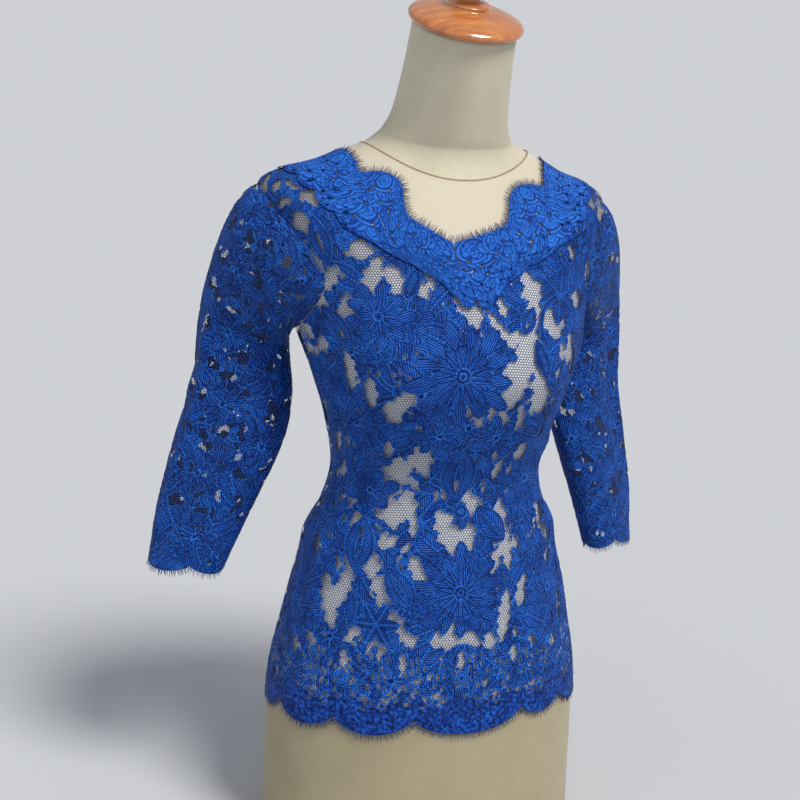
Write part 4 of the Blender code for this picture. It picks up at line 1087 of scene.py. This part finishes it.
def hem_band(lace):
    """The dense lower edge: fans of small slits over the scallops."""
    band = HEM_BAND + 6 * np.cos(lace.u * FULL_TURN / FAN_PITCH) - lace.v
    lace.fill(band)
    inner = band > 0
    lace.rib = np.where(inner, np.where(lace.v > 16, lace.rib * 0.9, PLAIN_RIB), lace.rib)
    lace.cord = np.where(inner, np.where(lace.v > 16, lace.cord, 9.0), lace.cord)
    reach = int(np.abs(lace.u).max() / FAN_PITCH) + 1
    rng = np.random.default_rng(23)
    for k in range(-reach, reach + 1):
        centre = (k + 0.5) * FAN_PITCH
        for radius, count in FAN_RINGS:
            for step in range(-count, count + 1):
                turn = step * 90 / (count + 0.5) + rng.uniform(-2, 2)
                u = centre + radius * math.sin(math.radians(turn)) + rng.uniform(-0.9, 0.9)
                v = 4 + radius * math.cos(math.radians(turn)) + rng.uniform(-1.2, 1.2)
                size = rng.uniform(7.0, 10.5)
                if abs(u - centre) < FAN_PITCH / 2 - 2 and v > 13 and rng.uniform() < 0.70:
                    slant = turn + rng.uniform(-22, 22)
                    lace.punch(Motif(leaf, u, v, slant, (size, size * 0.17)))
        for petal in range(-2, 3):
            turn = math.radians(petal * 30)
            place = (centre + 12 * math.sin(turn), 2 + 12 * math.cos(turn))
            lace.punch(Motif(leaf, *place, petal * 30, (8.0, 1.3)))
        lace.punch(Motif(window, centre - FAN_PITCH / 2, 55, 0, (20, 4)))


def torso_lace(columns, place, pitch, from_back):
    """The grid of a torso panel, with flat coordinates from centre front or centre back."""
    grid, shares = np.meshgrid(columns, np.linspace(0, 1, int(560 / pitch)), indexing="ij")
    points, normals = place(grid, shares)
    fade = np.maximum(0.0, 1 - shares / HEM_FADE)
    height = seam_height(grid) * shares + hem_height(grid) * fade
    angle = column_angle(height, grid)
    u, v = flat_torso(height, angle)
    if from_back:
        side = 1 if columns.mean() > 0 else -1
        u = u - flat_torso(height, np.full_like(height, side * math.pi))[0]
    return Lace(points, normals, u, v)


def sleeve_lace(side, pitch):
    around = np.linspace(-math.pi, math.pi, int(262 / pitch))
    rows = np.linspace(0, 2, int(400 / pitch))
    grid, down = np.meshgrid(around, rows, indexing="ij")
    points, normals = sleeve_place(side, grid, down)
    u = np.zeros(grid.shape)
    u[1:] = np.cumsum(np.linalg.norm(np.diff(points, axis=0), axis=-1), axis=0) / MM
    u = (u - u[len(around) // 2]) * side
    v = np.zeros(grid.shape)
    v[:, 1:] = np.cumsum(np.linalg.norm(np.diff(points, axis=1), axis=-1), axis=1) / MM
    v = v[:, -1:] - v
    return Lace(points, normals, u, v)


def border_lace(side, pitch):
    steps = np.linspace(side * CENTRE_GAP, side * (2 - CENTRE_GAP), int(430 / pitch))
    grid, shares = np.meshgrid(steps, np.linspace(0, 1, int(78 / pitch)), indexing="ij")
    points, normals = border_place(grid, shares)
    u = np.zeros(grid.shape)
    middle = shares.shape[1] // 2
    along = np.linalg.norm(np.diff(points[:, middle], axis=0), axis=-1)
    u[1:] = (np.cumsum(along) / MM)[:, None]
    v = np.zeros(grid.shape)
    v[:, 1:] = np.cumsum(np.linalg.norm(np.diff(points, axis=1), axis=-1), axis=1) / MM
    v = v[:, -1:] - v
    return Lace(points, normals, u, v, ground=9.0)


BORDER_LOOP_ROWS = 9
BORDER_LOOP_PITCH = 22.5
BORDER_ROW_STEP = 12.0
LOOP_BAND = 3.4
FOOT_LOBE = 27


def border_pattern(lace):
    """Overlapping loops round small flowers, from the lobed foot up to the scalloped edge."""
    lace.cord = np.full(lace.u.shape, 9.0)
    lace.rib = np.full(lace.u.shape, PLAIN_RIB)
    for row in range(BORDER_LOOP_ROWS, 0, -1):
        for k in range(int(lace.u.max() / BORDER_LOOP_PITCH) + 2):
            u = (k + 0.5 * (row % 2)) * BORDER_LOOP_PITCH + 2.2 * math.sin(2.1 * k + row)
            v = row * BORDER_ROW_STEP - 2 + 1.8 * math.sin(1.7 * k + row)
            size = 12.2 + 1.8 * math.sin(0.9 * k + 2.3 * row)
            lace.stamp(Motif(leaf, u - 12, v + 3, 38, (19, 4.2, 0.0, 0.3)))
            lace.stamp(Motif(leaf, u + 12, v + 3, -38, (19, 4.2, 0.0, -0.3)))
            lace.stamp(Motif(ring, u, v, 0, (size, size - LOOP_BAND)))
            if (k + row) % 3:
                lace.stamp(Motif(bloom, u, v, 25 * k, (size - LOOP_BAND - 0.4, 5)))
            else:
                lace.stamp(Motif(ring, u, v, 0, (size - LOOP_BAND - 1.4, 1.6)))
            for step in range(-2, 3):
                if (step + 2 * k + row) % 3 == 0:
                    turn = math.radians(step * 30)
                    place = (u + (size - 1.5) * math.sin(turn), v + (size - 1.5) * math.cos(turn))
                    lace.punch(Motif(leaf, *place, step * 30 + 90, (5.6, 1.0)))
    # Cord lines along the scalloped edge and the lobed foot, shown in colour as painted shadow lines.
    lace.cord = np.where(lace.v < 3.5, np.minimum(np.abs(lace.v - 3.5), lace.cord), lace.cord)
    foot = lace.v.max(axis=1, keepdims=True) - lace.v
    lobes = 6.0 * np.abs(np.sin(math.pi * lace.u / FOOT_LOBE)) ** 0.7
    lace.inside = np.minimum(lace.inside, foot - 6.4 + lobes)
    lace.cord = np.minimum(lace.cord, np.abs(foot - 8.4 + lobes))


# The lace panels, each a sheet of thread work with the net that shows between its motifs
def dressed(lace, name, node, body_material, with_net=True, lift=LACE_LIFT):
    """The thread work and the net of one panel, standing for its solid."""
    sheet = lace.piece(f"{name}_lace", lift, body_material)
    made = [sheet]
    if with_net:
        made.append(lace.net(f"{name}_net", min(lift, NET_LIFT), NET_PITCH, NET_THREAD, NET_BLUE))
    for piece in made:
        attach(piece, "stand")
        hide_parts(node)
    return made


def front_panel():
    lace = torso_lace(np.linspace(-1, 1, 300), panel_place, 1.52, from_back=False)
    ground_lace(lace, lambda u, v: abs(u) > 160 and v > 240)
    for motif in FRONT_MOTIFS:
        lace.stamp(motif)
    pinholes(lace, 420, 7)
    for u, v, lean, size, width in FRONT_WINDOWS:
        lace.punch(Motif(window, u, v, lean, (size * 1.15, width * 1.45)))
    scattered_windows(lace, 150, 29)
    for motif in FRONT_MOTIFS:
        if motif.shape is not leaf or motif.sizes[2] > 0:
            lace.stamp(motif)
    hem_band(lace)
    return lace


def back_panel(side):
    columns = np.linspace(side * (1 + CENTRE_GAP), side * (2 - SEAM_GAP), 128)
    lace = torso_lace(columns, panel_place, 1.8, from_back=True)
    ground_lace(lace, lambda u, v: v > 60, opening=0.64)
    pinholes(lace, 260, 11)
    hem_band(lace)
    lace.fill(6 - np.abs(lace.u))
    return lace


def sleeve_panel(side):
    lace = sleeve_lace(side, 1.6)
    ground_lace(lace, lambda u, v: v > 50, opening=0.64)
    pinholes(lace, 360, 17)
    lace.fill(13 + 4 * np.cos(lace.u * FULL_TURN / 26) - lace.v)
    return lace


dressed(front_panel(), "front", "front", LACE_BLUE)
for word, side in (("left", 1), ("right", -1)):
    dressed(
        back_panel(side), f"back_{word}", f"back_{word}", LACE_BLUE)
    dressed(
        sleeve_panel(side), f"sleeve_{word}", f"sleeve_{word}", LACE_BLUE, lift=0.3 * MM)
    border = border_lace(side, 0.95)
    border_pattern(border)
    dressed(
        border, f"neck_border_{word}", f"neck_border_{word}", BORDER_BLUE,
        with_net=False, lift=BORDER_LIFT)


# Eyelash fringe: one curled thread at a time along the scalloped edges
LASH_PITCH = 1.6 * MM
LASH_LENGTH = 6.8 * MM
LASH_HALF_WIDTH = 0.46 * MM


def lashes(name, node, edge, start, end, away, lift, seed):
    """Threads with three sides along an edge, where edge gives its points and normals."""
    rng = np.random.default_rng(seed)
    fine = np.linspace(start, end, 3000)
    points, normals = edge(fine)
    length = np.concatenate(([0], np.cumsum(np.linalg.norm(np.diff(points, axis=0), axis=1))))
    places = np.arange(LASH_PITCH / 2, length[-1], LASH_PITCH)
    places = places + rng.uniform(-0.25, 0.25, len(places)) * LASH_PITCH
    at = np.interp(places, length, np.arange(len(fine)))
    low = np.clip(at.astype(int), 0, len(fine) - 2)
    root, normal = points[low], normals[low]
    ahead, behind = np.clip(low + 12, 0, len(fine) - 1), np.clip(low - 12, 0, len(fine) - 1)
    along = unit(points[ahead] - points[behind])
    out = unit(np.cross(along, normal) * away)
    slant = rng.normal(0, 0.16, (len(places), 1))
    curl = rng.normal(0.0, 0.16, (len(places), 1))
    lean = rng.normal(0.12, 0.16, (len(places), 1))
    reach = LASH_LENGTH * rng.uniform(0.82, 1.08, (len(places), 1))
    rings = []
    for share, half in ((-0.10, 1.0), (0.30, 0.85), (0.68, 0.55), (1.0, 0.15)):
        middle = root + normal * lift + out * reach * share
        middle = middle + along * reach * (slant * share + curl * share * abs(share))
        middle = middle + normal * reach * lean * share * abs(share)
        ring_points = []
        for k in range(3):
            turn = FULL_TURN * k / 3
            ring_points.append(middle + (along * math.cos(turn) + normal * math.sin(turn))
                               * LASH_HALF_WIDTH * half)
        rings.append(np.stack(ring_points, 1))
    body = np.stack(rings, 1)
    count = len(places)
    base = np.arange(count)[:, None, None] * 12
    level = np.arange(3)[None, :, None] * 3
    k = np.arange(3)[None, None, :]
    following = (k + 1) % 3
    quads = np.stack(np.broadcast_arrays(base + level + k, base + level + following,
                                         base + level + 3 + following, base + level + 3 + k), -1)
    piece = sheet_piece(name, body.reshape(-1, 3), quads.reshape(-1, 4), LASH_BLUE, {})
    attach(piece, "stand")
    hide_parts(node)
    return piece


HEM_LASHES = lashes("hem_lashes", "hem_fringe", lambda c: panel_place(c, np.zeros_like(c)),
                    -2 + CENTRE_GAP, 2 - CENTRE_GAP, 1, LACE_LIFT, 3)
CUFF_LASHES, NECK_LASHES = {}, {}
for word, side in (("left", 1), ("right", -1)):
    CUFF_LASHES[word] = lashes(
        f"cuff_lashes_{word}", f"cuff_fringe_{word}",
        lambda a: sleeve_place(side, a, np.full_like(a, 2.0)), -math.pi, math.pi, -side, 0.0, 5)
    NECK_LASHES[word] = lashes(
        f"neck_lashes_{word}", f"neck_fringe_{word}",
        lambda c: border_place(c, np.ones_like(c)), side * 0.006, side * (2 - CENTRE_GAP), -side,
        BORDER_LIFT + 0.5 * MM, 6)


# The sheer yoke and its bound edge
def yoke_piece(name, columns):
    grid, shares = np.meshgrid(columns, np.linspace(0, 1, 40), indexing="ij")
    points, normals = yoke_place(grid, shares)
    points = points + normals * YOKE_LIFT
    foot = seam_height(grid) + YOKE_GAP
    height = foot + (NECK_HEIGHT - foot) * shares
    u, v = flat_torso(height, column_angle(height - YOKE_GAP, grid))
    piece = sheet_piece(name, points, grid_quads(*grid.shape), NUDE_TULLE,
                        {"flat": np.stack((u, v), -1) * MM})
    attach(piece, "stand")
    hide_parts(name)
    return piece


YOKES = {"front": yoke_piece("yoke_front", np.linspace(-1, 1, 140))}
for word, side in (("left", 1), ("right", -1)):
    YOKES[word] = yoke_piece(
        f"yoke_back_{word}", np.linspace(side * (1 + CENTRE_GAP), side * (2 - CENTRE_GAP), 70))


def tube(name, path, normals, radius, material, sides=8):
    """A round cord along points, with a normal at each of them."""
    along = unit(np.gradient(path, axis=0))
    beside = np.cross(along, normals)
    rings = []
    for k in range(sides):
        turn = FULL_TURN * k / sides
        rings.append(path + (normals * math.cos(turn) + beside * math.sin(turn)) * radius)
    points = np.stack(rings, 0)
    return sheet_piece(name, points, grid_quads(sides, len(path), closed=True), material, {})


BINDING_COLUMNS = np.linspace(-2 + CENTRE_GAP, 2 - CENTRE_GAP, 400)
BINDING_PATH, BINDING_NORMALS = yoke_place(BINDING_COLUMNS, np.ones_like(BINDING_COLUMNS))
BINDING = tube("neck_binding", BINDING_PATH + BINDING_NORMALS * YOKE_LIFT, BINDING_NORMALS,
               0.7 * MM, EDGE_BROWN)
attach(BINDING, "stand")


# Dress form in jersey, its cap and its zip
FORM_COLUMNS = 144


def form_inset(height):
    near_neck = soft_bump(height - NECK_HEIGHT, NECK_CONTACT)
    return FORM_CLEARANCE - (FORM_CLEARANCE - NECK_CLEARANCE + PANEL_LIFT) * near_neck


def neck_ring_points(ring, angles):
    tilt = Matrix.Rotation(math.radians(ring.tip), 3, "X")
    flat = stacked(ring.half_width * np.sin(angles), -ring.half_depth * np.cos(angles), 0.0)
    return flat @ np.array(tilt).T + np.array((0.0, ring.y, NECK_POINT_HEIGHT + ring.z))


def build_form():
    angles = np.linspace(-math.pi, math.pi, FORM_COLUMNS + 1)
    heights = np.concatenate((
        np.linspace(HEIGHTS[0], PIT_HEIGHT, 90), np.linspace(PIT_HEIGHT, TIP_HEIGHT, 24)[1:],
        np.linspace(TIP_HEIGHT, NECK_HEIGHT - 0.010, 22)[1:],
        NECK_HEIGHT + np.array((-0.005, 0.0, 0.002))))
    rings = []
    for height in heights:
        level = np.full_like(angles, height)
        normal = torso_normal(level, angles)
        if height == heights[0]:
            normal = unit(normal * (1.0, 1.0, 0.0))
        rings.append(torso_point(level, angles) - normal * form_inset(height))
    chart_rows = len(rings)
    neck = np.array([neck_ring_points(ring, angles) for ring in NECK_RINGS])
    rows = [0.0]
    for low, high in zip(neck, neck[1:]):
        rows.append(rows[-1] + float(np.linalg.norm((high - low).mean(axis=0))) + 1e-4)
    places = np.arange(len(NECK_RINGS))
    shapes = Curve(places, places)
    for place in np.linspace(0, len(NECK_RINGS) - 1, 25):
        values = [float(Curve(places, [getattr(ring, key) for ring in NECK_RINGS])(shapes(place)))
                  for key in NeckRing._fields[1:]]
        rings.append(neck_ring_points(NeckRing("between", *values), angles))
    points = np.array(rings)
    u, v = flat_torso(*np.meshgrid(heights, angles, indexing="ij"))
    more = len(rings) - chart_rows
    neck_u = np.repeat(u[-1:] * 0.8, more, axis=0)
    neck_v = v[-1:] + np.arange(1, more + 1)[:, None] * 4.6
    flat = np.stack((np.vstack((u, neck_u)), np.vstack((v, neck_v))), -1) * MM
    piece = sheet_piece("form_jersey", points, grid_quads(*points.shape[:2]), JERSEY, {"flat": flat})
    bm = bmesh.new()
    bm.from_mesh(piece.data)
    bmesh.ops.remove_doubles(bm, verts=bm.verts, dist=0.01 * MM)
    bmesh.ops.holes_fill(bm, edges=[edge for edge in bm.edges if edge.is_boundary], sides=0)
    bmesh.ops.recalc_face_normals(bm, faces=bm.faces)
    bm.to_mesh(piece.data)
    bm.free()
    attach(piece, "stand")
    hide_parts("form_body")


build_form()

CAP_ROWS = Curve(np.arange(len(CAP_RINGS)), [ring.radius for ring in CAP_RINGS])
CAP_LEVELS = Curve(np.arange(len(CAP_RINGS)), [ring.height for ring in CAP_RINGS])


def build_cap():
    top = NECK_RINGS[-1]
    tilt = np.array(Matrix.Rotation(math.radians(top.tip), 3, "X"))
    rows = np.linspace(0, len(CAP_RINGS) - 1, 140)
    turns = np.linspace(0, FULL_TURN, 96, endpoint=False)
    radius, height = np.maximum(CAP_ROWS(rows), 0), CAP_LEVELS(rows)
    flat = stacked(radius * np.cos(turns)[:, None], radius * np.sin(turns)[:, None], height)
    points = flat @ tilt.T + np.array((0.0, top.y, NECK_POINT_HEIGHT + top.z))
    piece = sheet_piece("turned_cap", points, grid_quads(*points.shape[:2], closed=True), CAP_WOOD, {})
    bm = bmesh.new()
    bm.from_mesh(piece.data)
    bmesh.ops.remove_doubles(bm, verts=bm.verts, dist=0.02 * MM)
    bmesh.ops.holes_fill(bm, edges=[edge for edge in bm.edges if edge.is_boundary], sides=0)
    bmesh.ops.recalc_face_normals(bm, faces=bm.faces)
    bm.to_mesh(piece.data)
    bm.free()
    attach(piece, "stand")
    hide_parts("neck_cap")


build_cap()

ZIP_FOOT_HEIGHT, ZIP_HEAD_BELOW_NECK = 0.100, 0.014
ZIP_HALF_WIDTH, ZIP_EASE_SHARE = 0.007, 0.5
TAPE_LIFT, TAPE_WALL = 0.15 * MM, 0.6 * MM


def build_tape():
    across = np.linspace(-ZIP_HALF_WIDTH, ZIP_HALF_WIDTH, 15)
    heights = np.linspace(ZIP_FOOT_HEIGHT, NECK_HEIGHT - ZIP_HEAD_BELOW_NECK, 260)
    grid, height = np.meshgrid(across, heights, indexing="ij")
    angle = math.pi + grid / COLUMN["half_width"](height)
    normal = torso_normal(height, angle)
    ridge = 0.7 * MM * soft_bump(grid, 1.2 * MM) * (0.8 + 0.2 * np.sin(height / (1.1 * MM)))
    lifted = ease(height, angle) * ZIP_EASE_SHARE + TAPE_LIFT + TAPE_WALL + ridge
    points = torso_point(height, angle) + normal * lifted[..., None]
    piece = sheet_piece("zip_tapes", points, grid_quads(*grid.shape), TAPE_BLUE, {})
    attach(piece, "stand")
    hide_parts("zip_tape")
    return piece


ZIP_TAPES = build_tape()

for node, material in (("base_plate", BOARD_WOOD), ("zip_slider", ENAMEL), ("zip_pull", ENAMEL)):
    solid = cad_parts[node]
    solid.data.materials.clear()
    solid.data.materials.append(material)


# Floor, light and camera
def build_floor():
    turns = np.linspace(0, FULL_TURN, 64, endpoint=False)
    bm = bmesh.new()
    bm.faces.new([bm.verts.new((40 * math.cos(turn), 40 * math.sin(turn), 0.0)) for turn in turns])
    mesh = bpy.data.meshes.new("floor")
    bm.to_mesh(mesh)
    bm.free()
    material, tree, principled = nodes_of("pale floor")
    principled.inputs["Base Color"].default_value = (0.516, 0.530, 0.558, 1.0)
    principled.inputs["Roughness"].default_value = 0.9
    mesh.materials.append(material)
    floor = bpy.data.objects.new("floor", mesh)
    bpy.context.scene.collection.objects.link(floor)


def sun(name, towards, strength, spread, colour):
    data = bpy.data.lights.new(name, "SUN")
    data.energy = strength
    data.angle = math.radians(spread)
    data.color = colour
    lamp = bpy.data.objects.new(name, data)
    lamp.rotation_euler = Vector(towards).to_track_quat("-Z", "Y").to_euler()
    bpy.context.scene.collection.objects.link(lamp)


build_floor()
sun("key light", (-0.42, 0.80, -1.15), 3.0, 20, (1.0, 0.98, 0.94))
sun("fill light", (0.9, 0.5, -0.6), 0.30, 60, (0.90, 0.95, 1.0))

world = bpy.data.worlds.new("pale studio")
world.use_nodes = True
sky = world.node_tree
towards = add(sky, "ShaderNodeSeparateXYZ")
sky.links.new(add(sky, "ShaderNodeTexCoord").outputs["Generated"], towards.inputs[0])
sky.links.new(ramp(sky, towards.outputs["Z"], (
    (0.0, (0.62, 0.635, 0.665)), (0.20, (0.60, 0.615, 0.645)), (0.50, (0.36, 0.37, 0.39)))),
    sky.nodes["Background"].inputs["Color"])
bpy.context.scene.world = world
bpy.context.scene.view_settings.view_transform = "Standard"

CAMERA_YAW, CAMERA_PITCH, CAMERA_ROLL = (math.radians(degrees) for degrees in (19.2, 11.3, 2.7))
CAMERA_DISTANCE, CAMERA_HEIGHT = 1.21, 0.693


def build_camera():
    data = bpy.data.cameras.new("camera")
    data.lens = 54
    data.sensor_width = 36
    data.shift_x = -35 / 800
    camera = bpy.data.objects.new("camera", data)
    forward = Vector((math.sin(CAMERA_YAW) * math.cos(CAMERA_PITCH),
                      math.cos(CAMERA_YAW) * math.cos(CAMERA_PITCH), -math.sin(CAMERA_PITCH)))
    place = Vector((-CAMERA_DISTANCE * math.sin(CAMERA_YAW),
                    -CAMERA_DISTANCE * math.cos(CAMERA_YAW), CAMERA_HEIGHT))
    level = forward.to_track_quat("-Z", "Y").to_matrix().to_4x4()
    camera.matrix_world = (Matrix.Translation(place) @ level
                           @ Matrix.Rotation(CAMERA_ROLL, 4, "Z"))
    bpy.context.scene.collection.objects.link(camera)
    bpy.context.scene.camera = camera


build_camera()
